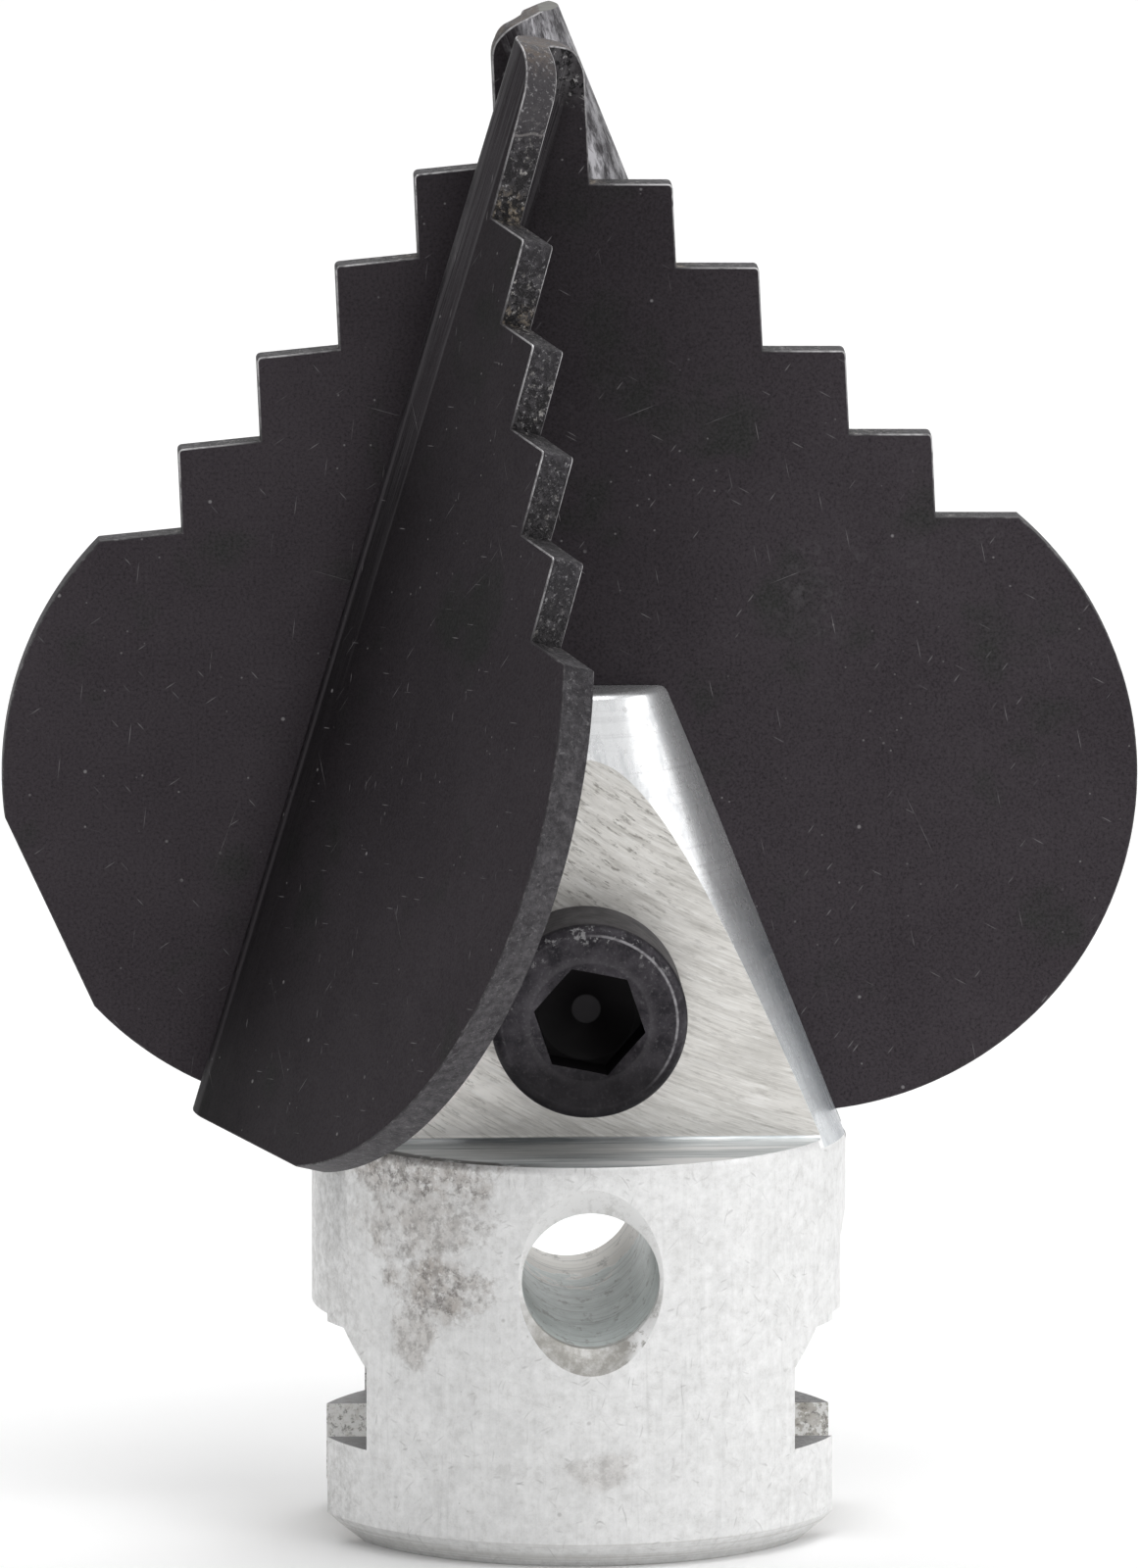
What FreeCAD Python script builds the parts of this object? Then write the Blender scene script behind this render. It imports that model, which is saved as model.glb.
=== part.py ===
"""Cross-blade cutter head for drain-cleaning spirals.

A turned and milled coupling head holds two folded sheet-steel blades in one cross slot. The blades lie
face to face in the slot, each folds out of the slot plane along a slanted line, and one socket-head
screw clamps both. Every piece is its own solid in the shared frame: X along the slot, -Y towards the
screw head, +Z up towards the tip, origin at the centre of the bottom face. Lengths are millimetres.
"""
import FreeCAD, Part
import math
import os

from FreeCAD import Placement, Rotation, Vector

# Coupling head: turned body
HEAD_DIAMETER = 27.3
BOTTOM_CHAMFER = 1.35
BARREL_SHOULDER = 2.03
CONE_HEIGHT = 23.25
CONE_TOP_DIAMETER = 9.35
CONE_TOP_ROUND = 0.5

# Coupling head: T-slot that slides over the T of a spiral coupling
NECK_WIDTH = 9.0
NECK_MOUTH_CHAMFER = 1.0
LIP_HEIGHT = 5.25
CAVITY_WIDTH = 16.4
CAVITY_HEIGHT = 6.0
CAVITY_CHAMFER = 1.8
CHANNEL_DEPTH = 0.4
CHANNEL_REACH = 5.0
T_SLOT_TURN = -2.0

# Coupling head: cross hole for the release pin
KEY_HOLE_DIAMETER = 7.0
KEY_HOLE_RISE = 3.62
COUNTERSINK_DIAMETER = 9.6
COUNTERSINK_ANGLE = 130.0

# Coupling head: shallow relief above one mouth of the T-slot
RELIEF_DEPTH = 0.45
RELIEF_HEIGHT = 3.6
RELIEF_RUN_OUT = 1.5

# Coupling head: milled seat of the screw head
SEAT_DISTANCE = 5.9
SEAT_LEDGE_RISE = 0.4
SEAT_CORNER_RADIUS = 0.35

# Clamp screw: M6 x 16 hexagon socket head cap screw
THREAD_DIAMETER = 6.0
SCREW_LENGTH = 16.0
SCREW_TIP_CHAMFER = 0.6
SCREW_HEAD_DIAMETER = 10.0
SCREW_HEAD_HEIGHT = 6.0
SCREW_HEAD_ROUND = 0.5
SOCKET_WIDTH = 5.0
SOCKET_DEPTH = 3.0
SOCKET_POINT_ANGLE = 30.0
SOCKET_POINT_FLAT = 1.5
SOCKET_MOUTH_CHAMFER = 0.3
SOCKET_TURN = -11.4

# Fits
THREAD_CLEARANCE = 0.05
SHANK_CLEARANCE = 0.3
SLOT_CLEARANCE = 0.05
SLOT_FLOOR_CLEARANCE = 0.3
BLADE_HOLE_CLEARANCE = 0.11

# How the blades sit: height over the barrel, turn about the screw, one a little lower than the other
BLADE_RISE = 1.05
SCREW_RISE = 6.55
PAIR_LEAN = 2.53
BLADE_OFFSET = 0.445

# Blade sheet and fold
SHEET = 1.8
BEND_INNER_RADIUS = 1.8
BEND_ANGLE = 113.7
FOLD_LEAN = 19.2
FOLD_TOP_X = 2.2
FOLD_FOOT_RISE = 0.85

# Teeth shared by both wings of a blade
TOOTH_COUNT = 5
TOOTH_RUN = 4.215
TOOTH_DROP = 4.505
TOOTH_CORNER_RADIUS = 0.25

# Side wing, in the plane of the slot
SIDE_LOBE_RADIUS = 17.4
SIDE_LOBE_INSET = 11.86
SIDE_TREAD_SLOPE = 3.0
SIDE_RISER_SLOPE = 0.0
TONGUE_HEIGHT = 7.0
TONGUE_EDGE = 0.1
TONGUE_RADIUS = 1.8

# Folded wing, laid out from the bend: across is away from the fold, down is along it from the nose
FOLD_FIRST_TOOTH_ACROSS = 6.06
FOLD_FIRST_TOOTH_DOWN = 8.9
FOLD_TREAD_SLOPE = 2.2
FOLD_RISER_SLOPE = 3.3
NOSE_RADIUS = 2.7
FOLD_LOBE_ACROSS = 5.7
FOLD_LOBE_RADIUS = 20.2
FOLD_BOTTOM_ACROSS = 11.2

# Grinding marks on the rear blade: a flat on its lobe and a level facet on its tip
GROUND_FLAT_DEPTH = 0.86
GROUND_FLAT_ANGLE = 22.3
TIP_FACET_DEPTH = 0.35

# Heights and radii of the head that follow from the sizes above
HEAD_RADIUS = HEAD_DIAMETER / 2
CONE_TOP_RADIUS = CONE_TOP_DIAMETER / 2
CAVITY_TOP_Z = LIP_HEIGHT + CAVITY_HEIGHT
CHANNEL_TOP_Z = CAVITY_TOP_Z + CHANNEL_DEPTH
KEY_HOLE_Z = CAVITY_TOP_Z + KEY_HOLE_RISE
CONE_BASE_Z = KEY_HOLE_Z + KEY_HOLE_DIAMETER / 2 + BARREL_SHOULDER
CONE_TOP_Z = CONE_BASE_Z + CONE_HEIGHT
SEAT_LEDGE_Z = CONE_BASE_Z + SEAT_LEDGE_RISE

# Places on the blade that follow, from its lower edge up to the tip
SIDE_BOTTOM_Z = CONE_BASE_Z + BLADE_RISE
SCREW_Z = SIDE_BOTTOM_Z + SCREW_RISE
SIDE_LOBE_Z = SIDE_BOTTOM_Z + SIDE_LOBE_RADIUS
SIDE_LAST_TOOTH_Z = SIDE_LOBE_Z + math.sqrt(SIDE_LOBE_RADIUS ** 2 - SIDE_LOBE_INSET ** 2)
SIDE_FIRST_TOOTH_Z = SIDE_LAST_TOOTH_Z + (TOOTH_COUNT - 1) * TOOTH_DROP
SIDE_FIRST_TOOTH_X = FOLD_TOP_X + TONGUE_EDGE + TOOTH_RUN
SIDE_LOBE_X = SIDE_FIRST_TOOTH_X + (TOOTH_COUNT - 1) * TOOTH_RUN - SIDE_LOBE_INSET
FOLD_TOP_Z = SIDE_FIRST_TOOTH_Z + TONGUE_HEIGHT
FOLD_LENGTH = (FOLD_TOP_Z - SIDE_BOTTOM_Z - FOLD_FOOT_RISE) / math.cos(math.radians(FOLD_LEAN))
BEND_OUTER_RADIUS = BEND_INNER_RADIUS + SHEET

# Slot and holes that follow from the blades
SLOT_WIDTH = 2 * (SHEET + SLOT_CLEARANCE)
BLADE_HOLE_DIAMETER = THREAD_DIAMETER + 2 * (BLADE_OFFSET + BLADE_HOLE_CLEARANCE)
SLOT_FLOOR_Z = (SIDE_BOTTOM_Z - BLADE_OFFSET - SLOT_FLOOR_CLEARANCE
                - HEAD_RADIUS * math.sin(math.radians(PAIR_LEAN)))
MARGIN = 1.0
SCREW_AXIS = Vector(0, 1, 0)
HEAD_AXIS = Vector(0, 0, 1)


def prism(face, direction):
    """Extrude a face and return the solid."""
    return face.extrude(direction)


def face_from_edges(edges):
    """Join edges that follow each other into one closed plane face."""
    return Part.Face(Part.Wire(Part.__sortEdges__(edges)))


def face_from_points(points):
    """Make a plane face from its corners."""
    return Part.Face(Part.makePolygon(points + points[:1]))


def round_prism_edges(solid, corners, direction, radius):
    """Round the edges of a prism that run along direction through the given corners."""
    picked = []
    for edge in solid.Edges:
        if len(edge.Vertexes) != 2:
            continue
        start, end = (vertex.Point for vertex in edge.Vertexes)
        along = (end - start).normalize()
        if abs(abs(along.dot(direction)) - 1) > 1e-6:
            continue
        if any((corner - start).cross(direction).Length < 1e-4 for corner in corners):
            picked.append(edge)
    return solid.makeFillet(radius, picked)


def arc_between(start, end, centre):
    """Make the arc about centre from start to end, the short way round, as an edge."""
    radius = (start - centre).Length
    middle = ((start + end) * 0.5 - centre).normalize() * radius + centre
    return Part.Arc(start, middle, end).toShape()


def corner_waste(corner, along_one, along_two, radius, low_y, high_y):
    """Make the prism, lying along Y, whose removal rounds a corner between two straight edges."""
    bisector = (along_one + along_two).normalize()
    half_angle = along_one.getAngle(along_two) / 2
    reach = radius / math.tan(half_angle)
    centre = corner + bisector * (radius / math.sin(half_angle))
    start = corner + along_one * reach
    end = corner + along_two * reach
    start_out = start + (start - centre).normalize() * MARGIN
    end_out = end + (end - centre).normalize() * MARGIN
    edges = [
        arc_between(start, end, centre),
        Part.makeLine(end, end_out),
        Part.makeLine(end_out, corner - bisector * (2 * MARGIN)),
        Part.makeLine(corner - bisector * (2 * MARGIN), start_out),
        Part.makeLine(start_out, start),
    ]
    waste = prism(face_from_edges(edges), Vector(0, high_y - low_y, 0))
    waste.translate(Vector(0, low_y, 0))
    return waste


def point_on_circle(centre, radius, towards):
    """Return the point where the line from centre towards another point meets the circle."""
    return centre + (towards - centre).normalize() * radius


def turned_body():
    """Turn the head: chamfered foot, straight barrel, cone with a rounded top edge."""
    profile = face_from_points([
        Vector(0, 0, 0),
        Vector(HEAD_RADIUS - BOTTOM_CHAMFER, 0, 0),
        Vector(HEAD_RADIUS, 0, BOTTOM_CHAMFER),
        Vector(HEAD_RADIUS, 0, CONE_BASE_Z),
        Vector(CONE_TOP_RADIUS, 0, CONE_TOP_Z),
        Vector(0, 0, CONE_TOP_Z),
    ])
    body = profile.revolve(Vector(0, 0, 0), HEAD_AXIS, 360)
    rim = [edge for edge in body.Edges
           if edge.Closed and abs(edge.CenterOfMass.z - CONE_TOP_Z) < 1e-6]
    return body.makeFillet(CONE_TOP_ROUND, rim)


def screw_seat_cut():
    """Milling cut that leaves the flat and the ledge under the screw head."""
    flat_y = -SEAT_DISTANCE
    outer_y = -HEAD_RADIUS - MARGIN
    top_z = CONE_TOP_Z + MARGIN
    start_x = -HEAD_RADIUS - MARGIN
    corner = Vector(start_x, flat_y - SEAT_CORNER_RADIUS, SEAT_LEDGE_Z + SEAT_CORNER_RADIUS)
    on_flat = Vector(start_x, flat_y, corner.z)
    on_ledge = Vector(start_x, corner.y, SEAT_LEDGE_Z)
    outline = [
        Part.makeLine(Vector(start_x, flat_y, top_z), on_flat),
        arc_between(on_flat, on_ledge, corner),
        Part.makeLine(on_ledge, Vector(start_x, outer_y, SEAT_LEDGE_Z)),
        Part.makeLine(Vector(start_x, outer_y, SEAT_LEDGE_Z), Vector(start_x, outer_y, top_z)),
        Part.makeLine(Vector(start_x, outer_y, top_z), Vector(start_x, flat_y, top_z)),
    ]
    return prism(face_from_edges(outline), Vector(-2 * start_x, 0, 0))


def t_slot_cut():
    """T-slot, open below and run right through the barrel, with a shallow channel in from each mouth."""
    half_neck = NECK_WIDTH / 2
    half_cavity = CAVITY_WIDTH / 2
    start_x = -HEAD_RADIUS - MARGIN
    right_side = [
        (half_neck + NECK_MOUTH_CHAMFER, -MARGIN),
        (half_neck + NECK_MOUTH_CHAMFER, 0),
        (half_neck, NECK_MOUTH_CHAMFER),
        (half_neck, LIP_HEIGHT),
        (half_cavity, LIP_HEIGHT),
        (half_cavity, CAVITY_TOP_Z - CAVITY_CHAMFER),
        (half_cavity - CAVITY_CHAMFER, CAVITY_TOP_Z),
    ]
    left_side = [(-y, z) for y, z in reversed(right_side)]
    profile = face_from_points([Vector(start_x, y, z) for y, z in right_side + left_side])
    slot = prism(profile, Vector(-2 * start_x, 0, 0))
    for mouth_x in (start_x, HEAD_RADIUS - CHANNEL_REACH):
        channel = Part.makeBox(CHANNEL_REACH + MARGIN, NECK_WIDTH, CHANNEL_TOP_Z - LIP_HEIGHT,
                               Vector(mouth_x, -half_neck, LIP_HEIGHT))
        slot = slot.fuse(channel)
    slot.rotate(Vector(0, 0, 0), HEAD_AXIS, T_SLOT_TURN)
    return slot


def key_hole_cut():
    """Cross hole through the barrel with a countersink at each mouth."""
    radius = KEY_HOLE_DIAMETER / 2
    length = 2 * (HEAD_RADIUS + MARGIN)
    flare = math.tan(math.radians(COUNTERSINK_ANGLE / 2))
    depth = (COUNTERSINK_DIAMETER - KEY_HOLE_DIAMETER) / 2 / flare
    cut = Part.makeCylinder(radius, length, Vector(0, -length / 2, KEY_HOLE_Z), SCREW_AXIS)
    for side in (-1, 1):
        mouth = Part.makeCone(radius, radius + (depth + MARGIN) * flare, depth + MARGIN,
                              Vector(0, side * (HEAD_RADIUS - depth), KEY_HOLE_Z),
                              Vector(0, side, 0))
        cut = cut.fuse(mouth)
    return cut


def side_relief_cut():
    """Shallow flat above the right mouth of the T-slot, with a sloped run-out at its top."""
    floor_x = HEAD_RADIUS - RELIEF_DEPTH
    top_z = CHANNEL_TOP_Z + RELIEF_HEIGHT
    outer_x = HEAD_RADIUS + MARGIN
    slope = RELIEF_RUN_OUT / RELIEF_DEPTH
    profile = face_from_points([
        Vector(floor_x, -HEAD_RADIUS, LIP_HEIGHT),
        Vector(outer_x, -HEAD_RADIUS, LIP_HEIGHT),
        Vector(outer_x, -HEAD_RADIUS, top_z + slope * (outer_x - floor_x)),
        Vector(floor_x, -HEAD_RADIUS, top_z),
    ])
    return prism(profile, Vector(0, HEAD_DIAMETER, 0))


def blade_slot_cut():
    """Slot across the cone that takes both blades."""
    return Part.makeBox(2 * (HEAD_RADIUS + MARGIN), SLOT_WIDTH, CONE_TOP_Z + MARGIN - SLOT_FLOOR_Z,
                        Vector(-HEAD_RADIUS - MARGIN, -SLOT_WIDTH / 2, SLOT_FLOOR_Z))


def screw_holes_cut():
    """Clearance hole through the front jaw and threaded hole through the rear jaw."""
    front_radius = THREAD_DIAMETER / 2 + SHANK_CLEARANCE
    rear_radius = THREAD_DIAMETER / 2 + THREAD_CLEARANCE
    front = Part.makeCylinder(front_radius, HEAD_RADIUS, Vector(0, -HEAD_RADIUS, SCREW_Z), SCREW_AXIS)
    rear = Part.makeCylinder(rear_radius, HEAD_RADIUS, Vector(0, 0, SCREW_Z), SCREW_AXIS)
    return front.fuse(rear)


def coupling_head():
    """Head with T-slot, cross hole, screw seat and blade slot."""
    body = turned_body()
    for cut in (screw_seat_cut(), t_slot_cut(), key_hole_cut(), side_relief_cut(), blade_slot_cut(),
                screw_holes_cut()):
        body = body.cut(cut)
    return body.removeSplitter()


def stair(first, run, drop, tread_slope, riser_slope, count):
    """Corner points of a flight of teeth, as (tread start, outer corner) pairs.

    first is the outer corner of the first tooth. Across grows outwards and down grows away from the
    tip. A tread falls outwards by tread_slope and a riser moves outwards by riser_slope, in degrees.
    """
    fall = math.tan(math.radians(tread_slope))
    push = math.tan(math.radians(riser_slope))
    riser = (drop - run * fall) / (1 - push * fall)
    tread = run - riser * push
    pairs = []
    for index in range(count):
        across = first[0] + index * run
        down = first[1] + index * drop
        pairs.append(((across - tread, down - tread * fall), (across, down)))
    return pairs


def side_wing():
    """Wing that lies in the slot plane, and the waste that rounds the top of its tongue."""
    fold = Vector(math.sin(math.radians(FOLD_LEAN)), 0, math.cos(math.radians(FOLD_LEAN)))
    across = Vector(fold.z, 0, -fold.x)
    fold_top = Vector(FOLD_TOP_X, 0, FOLD_TOP_Z)
    fold_foot = fold_top - fold * FOLD_LENGTH
    first = (SIDE_FIRST_TOOTH_X, -SIDE_FIRST_TOOTH_Z)
    teeth = stair(first, TOOTH_RUN, TOOTH_DROP, SIDE_TREAD_SLOPE, SIDE_RISER_SLOPE, TOOTH_COUNT)
    stair_points = [Vector(x, 0, -down) for pair in teeth for x, down in pair]
    tongue_top = fold_top + across * ((stair_points[0].x - FOLD_TOP_X) / across.x)
    centre = Vector(SIDE_LOBE_X, 0, SIDE_LOBE_Z)
    stair_points[-1] = point_on_circle(centre, SIDE_LOBE_RADIUS, stair_points[-1])
    lobe_start = stair_points[-1]
    lobe_side = centre + Vector(SIDE_LOBE_RADIUS, 0, 0)
    lobe_foot = Vector(SIDE_LOBE_X, 0, SIDE_BOTTOM_Z)
    foot_step = (fold_foot.z - SIDE_BOTTOM_Z) / -across.z
    foot_corner = fold_foot + across * foot_step
    straight = [fold_top, tongue_top] + stair_points
    edges = [Part.makeLine(a, b) for a, b in zip(straight, straight[1:])]
    edges.append(Part.Arc(lobe_start, lobe_side, lobe_foot).toShape())
    edges.append(Part.makeLine(lobe_foot, foot_corner))
    edges.append(Part.makeLine(foot_corner, fold_foot))
    edges.append(Part.makeLine(fold_foot, fold_top))
    wing = prism(face_from_edges(edges), Vector(0, -SHEET, 0))
    outer_corners = stair_points[1::2]
    wing = round_prism_edges(wing, outer_corners, SCREW_AXIS, TOOTH_CORNER_RADIUS)
    hole = Part.makeCylinder(BLADE_HOLE_DIAMETER / 2, SHEET + 2 * MARGIN,
                             Vector(0, -SHEET - MARGIN, SCREW_Z), SCREW_AXIS)
    waste = corner_waste(tongue_top, Vector(0, 0, -1), across * -1, TONGUE_RADIUS,
                         -SHEET - MARGIN, MARGIN)
    return wing.cut(hole), waste


def folded_wing_flat():
    """Folded wing before it is placed, and the waste that rounds its nose.

    Across is +X, down is -Z and the outer face of the sheet is at Y = 0.
    """
    first = (FOLD_FIRST_TOOTH_ACROSS, FOLD_FIRST_TOOTH_DOWN)
    teeth = stair(first, TOOTH_RUN, TOOTH_DROP, FOLD_TREAD_SLOPE, FOLD_RISER_SLOPE, TOOTH_COUNT)
    stair_points = [Vector(across, 0, -down) for pair in teeth for across, down in pair]
    last = stair_points[-1]
    reach = math.sqrt(FOLD_LOBE_RADIUS ** 2 - (last.x - FOLD_LOBE_ACROSS) ** 2)
    centre = Vector(FOLD_LOBE_ACROSS, 0, last.z - reach)
    foot_reach = math.sqrt(FOLD_LOBE_RADIUS ** 2 - (FOLD_BOTTOM_ACROSS - FOLD_LOBE_ACROSS) ** 2)
    lobe_foot = Vector(FOLD_BOTTOM_ACROSS, 0, centre.z - foot_reach)
    lobe_side = centre + Vector(FOLD_LOBE_RADIUS, 0, 0)
    riser = (stair_points[0] - stair_points[1] + (stair_points[2] - stair_points[0])).normalize()
    nose_corner = stair_points[0] - riser * (stair_points[0].z / riser.z)
    straight = [Vector(0, 0, 0), nose_corner] + stair_points
    edges = [Part.makeLine(a, b) for a, b in zip(straight, straight[1:])]
    edges.append(Part.Arc(last, lobe_side, lobe_foot).toShape())
    edges.append(Part.makeLine(lobe_foot, Vector(0, 0, -FOLD_LENGTH)))
    edges.append(Part.makeLine(Vector(0, 0, -FOLD_LENGTH), Vector(0, 0, 0)))
    wing = prism(face_from_edges(edges), Vector(0, SHEET, 0))
    wing = round_prism_edges(wing, stair_points[1::2], SCREW_AXIS, TOOTH_CORNER_RADIUS)
    waste = corner_waste(nose_corner, riser, Vector(-1, 0, 0), NOSE_RADIUS, -MARGIN, SHEET + MARGIN)
    return wing, waste


def fold_placement():
    """Place a shape built about the fold line: +X into the side wing, +Z up along the fold."""
    return Placement(Vector(FOLD_TOP_X, 0, FOLD_TOP_Z), Rotation(Vector(0, 1, 0), FOLD_LEAN))


def bend_sector():
    """Bent strip between the two wings, about an axis in front of the slot plane."""
    centre = Vector(0, -BEND_OUTER_RADIUS, 0)
    outer = centre + Vector(0, BEND_OUTER_RADIUS, 0)
    inner = centre + Vector(0, BEND_INNER_RADIUS, 0)
    section = Part.Face(Part.makePolygon([outer, inner, inner + Vector(0, 0, -FOLD_LENGTH),
                                          outer + Vector(0, 0, -FOLD_LENGTH), outer]))
    return section.revolve(centre, HEAD_AXIS, BEND_ANGLE)


def blade_blank():
    """One folded blade, upright, with its rear face on the Y = 0 plane."""
    angle = math.radians(BEND_ANGLE)
    outward = Vector(-math.sin(angle), math.cos(angle), 0)
    placement = Placement(Vector(0, -BEND_OUTER_RADIUS, 0) + outward * BEND_OUTER_RADIUS,
                          Rotation(HEAD_AXIS, BEND_ANGLE - 180))
    wing, nose_waste = folded_wing_flat()
    wing.Placement = placement
    nose_waste.Placement = placement
    folded = bend_sector().fuse(wing).cut(nose_waste)
    folded.Placement = fold_placement()
    side, tongue_waste = side_wing()
    return side.fuse(folded).cut(tongue_waste).removeSplitter()


def settle(blade, offset):
    """Shift a blade along its height and turn it about the screw, as the clamped pair sits."""
    blade.translate(Vector(0, 0, offset))
    blade.rotate(Vector(0, 0, SCREW_Z), SCREW_AXIS, -PAIR_LEAN)
    return blade


def front_blade():
    """Blade on the screw-head side: side wing to the right, folded wing to the front."""
    return settle(blade_blank(), -BLADE_OFFSET)


def rear_blade():
    """The same blade half a turn round, with its two grinding marks."""
    blade = blade_blank()
    down = math.radians(GROUND_FLAT_ANGLE)
    outwards = Vector(math.cos(down), 0, -math.sin(down))
    centre = Vector(SIDE_LOBE_X, 0, SIDE_LOBE_Z)
    chord = centre + outwards * (SIDE_LOBE_RADIUS - GROUND_FLAT_DEPTH)
    waste = Part.makeBox(HEAD_RADIUS, SHEET + 2 * MARGIN, 2 * SIDE_LOBE_RADIUS)
    waste.translate(Vector(0, -SHEET - MARGIN, -SIDE_LOBE_RADIUS))
    waste.rotate(Vector(0, 0, 0), SCREW_AXIS, GROUND_FLAT_ANGLE)
    waste.translate(chord)
    blade = blade.cut(waste)
    blade.rotate(Vector(0, 0, 0), HEAD_AXIS, 180)
    blade = settle(blade, BLADE_OFFSET)
    tip_z = max(point.z for point in blade.tessellate(0.02)[0])
    reach = HEAD_DIAMETER
    above = Part.makeBox(2 * reach, 2 * reach, reach, Vector(-reach, -reach, tip_z - TIP_FACET_DEPTH))
    return blade.cut(above)


def hexagon_cut(width, depth):
    """Hexagonal prism along +Y, turned as the tightened screw came to rest."""
    corner_radius = width / math.sqrt(3)
    angles = [math.radians(SOCKET_TURN + 60 * step) for step in range(6)]
    corners = [Vector(math.cos(angle), 0, math.sin(angle)) * corner_radius for angle in angles]
    return prism(face_from_points(corners), Vector(0, depth, 0))


def clamp_screw():
    """Socket head cap screw, head resting on the seat and tip in the rear jaw."""
    radius = SCREW_HEAD_DIAMETER / 2
    shank = Part.makeCylinder(THREAD_DIAMETER / 2, SCREW_LENGTH, Vector(0, 0, 0), SCREW_AXIS)
    tip = [edge for edge in shank.Edges
           if edge.Closed and abs(edge.CenterOfMass.y - SCREW_LENGTH) < 1e-6]
    shank = shank.makeChamfer(SCREW_TIP_CHAMFER, tip)
    head = Part.makeCylinder(radius, SCREW_HEAD_HEIGHT, Vector(0, -SCREW_HEAD_HEIGHT, 0), SCREW_AXIS)
    rim = [edge for edge in head.Edges
           if edge.Closed and abs(edge.CenterOfMass.y + SCREW_HEAD_HEIGHT) < 1e-6]
    head = head.makeFillet(SCREW_HEAD_ROUND, rim)
    socket = hexagon_cut(SOCKET_WIDTH, SOCKET_DEPTH)
    point_depth = (SOCKET_WIDTH - SOCKET_POINT_FLAT) / 2 * math.tan(math.radians(SOCKET_POINT_ANGLE))
    socket = socket.fuse(Part.makeCone(SOCKET_WIDTH / 2, SOCKET_POINT_FLAT / 2, point_depth,
                                       Vector(0, SOCKET_DEPTH, 0), SCREW_AXIS))
    mouth_radius = SOCKET_WIDTH / math.sqrt(3) + SOCKET_MOUTH_CHAMFER
    socket = socket.fuse(Part.makeCone(mouth_radius, mouth_radius - 2 * SOCKET_MOUTH_CHAMFER,
                                       2 * SOCKET_MOUTH_CHAMFER, Vector(0, 0, 0), SCREW_AXIS))
    socket.translate(Vector(0, -SCREW_HEAD_HEIGHT, 0))
    screw = head.fuse(shank).cut(socket).removeSplitter()
    screw.translate(Vector(0, -SEAT_DISTANCE, SCREW_Z))
    return screw


PIECES = {
    "coupling_head": coupling_head,
    "front_blade": front_blade,
    "rear_blade": rear_blade,
    "clamp_screw": clamp_screw,
}


def main():
    """Build every piece and write one STEP file each."""
    os.makedirs("parts", exist_ok=True)
    for name, build in PIECES.items():
        shape = build()
        shape.exportStep("parts/" + name + ".step")
        box = shape.BoundBox
        print(name, "solids", len(shape.Solids), "valid", shape.isValid(), "volume", round(shape.Volume, 1),
              "box", [round(v, 2) for v in (box.XMin, box.YMin, box.ZMin, box.XMax, box.YMax, box.ZMax)])


main()
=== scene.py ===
"""Visual model of a toothed cross-blade cutter head for drain-cleaning spirals.

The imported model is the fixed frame. Each sub-assembly below builds its own finely edged meshes inside
that frame: the turned and milled coupling head, the two folded sheet blades and the clamp screw. Sizes
are millimetres in the row's frame, and every finished mesh is stored in metres. The sheet blades are cut
as flat patterns and bent in code, and the pattern is kept as a UV map, so that scratches and die marks
follow the sheet round its fold.
"""

import logging
import math
from dataclasses import dataclass
from enum import Enum

import bmesh
import bpy
from mathutils import Matrix, Vector


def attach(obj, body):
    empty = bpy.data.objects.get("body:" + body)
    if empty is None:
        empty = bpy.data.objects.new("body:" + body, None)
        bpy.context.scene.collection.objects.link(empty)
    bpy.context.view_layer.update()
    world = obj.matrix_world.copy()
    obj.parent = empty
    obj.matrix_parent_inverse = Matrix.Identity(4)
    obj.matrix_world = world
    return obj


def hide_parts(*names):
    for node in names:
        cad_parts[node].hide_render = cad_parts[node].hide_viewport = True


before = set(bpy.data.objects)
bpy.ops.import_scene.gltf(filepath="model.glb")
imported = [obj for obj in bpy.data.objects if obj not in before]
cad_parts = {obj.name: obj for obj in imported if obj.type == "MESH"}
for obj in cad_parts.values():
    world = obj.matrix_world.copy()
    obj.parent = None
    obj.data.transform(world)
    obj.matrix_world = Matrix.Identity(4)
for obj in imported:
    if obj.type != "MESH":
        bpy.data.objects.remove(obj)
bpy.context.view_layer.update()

LOG = logging.getLogger("cutter_head")
MM = 0.001
# Millimetres of sheet in one unit of a blade's UV pattern
PATTERN_MM = 100.0
# Cells per metre that fit a scratch of one millimetre, with room round it
STROKE_CELL = 620.0
Point = tuple[float, float]
Triple = tuple[float, float, float]
Colour = Triple
Table = tuple[tuple[float, ...], ...]


class Body(Enum):
    """Rigid bodies of the frame that the pieces ride on."""

    CUTTER = "cutter"
    SCREW = "screw"


class BladeSide(Enum):
    """Which face of the slot a blade lies against."""

    FRONT = "front_blade"
    REAR = "rear_blade"


class SheetZone(Enum):
    """Finish zones of a sheet blade, in material slot order."""

    FACE = 0
    SHEARED = 1
    EDGE = 2
    GROUND = 3


class HeadZone(Enum):
    """Finish zones of the coupling head, in material slot order."""

    BARREL = 0
    CONE = 1
    FLAT = 2
    LEDGE = 3
    SLOT = 4
    BORE = 5
    BURR_HIGHLIGHT = 6
    # The slot's lip and roof, in darker copies of its finish as painted shade.
    SHADED_LIP = 7
    SHADED_ROOF = 8


# Material building


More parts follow.
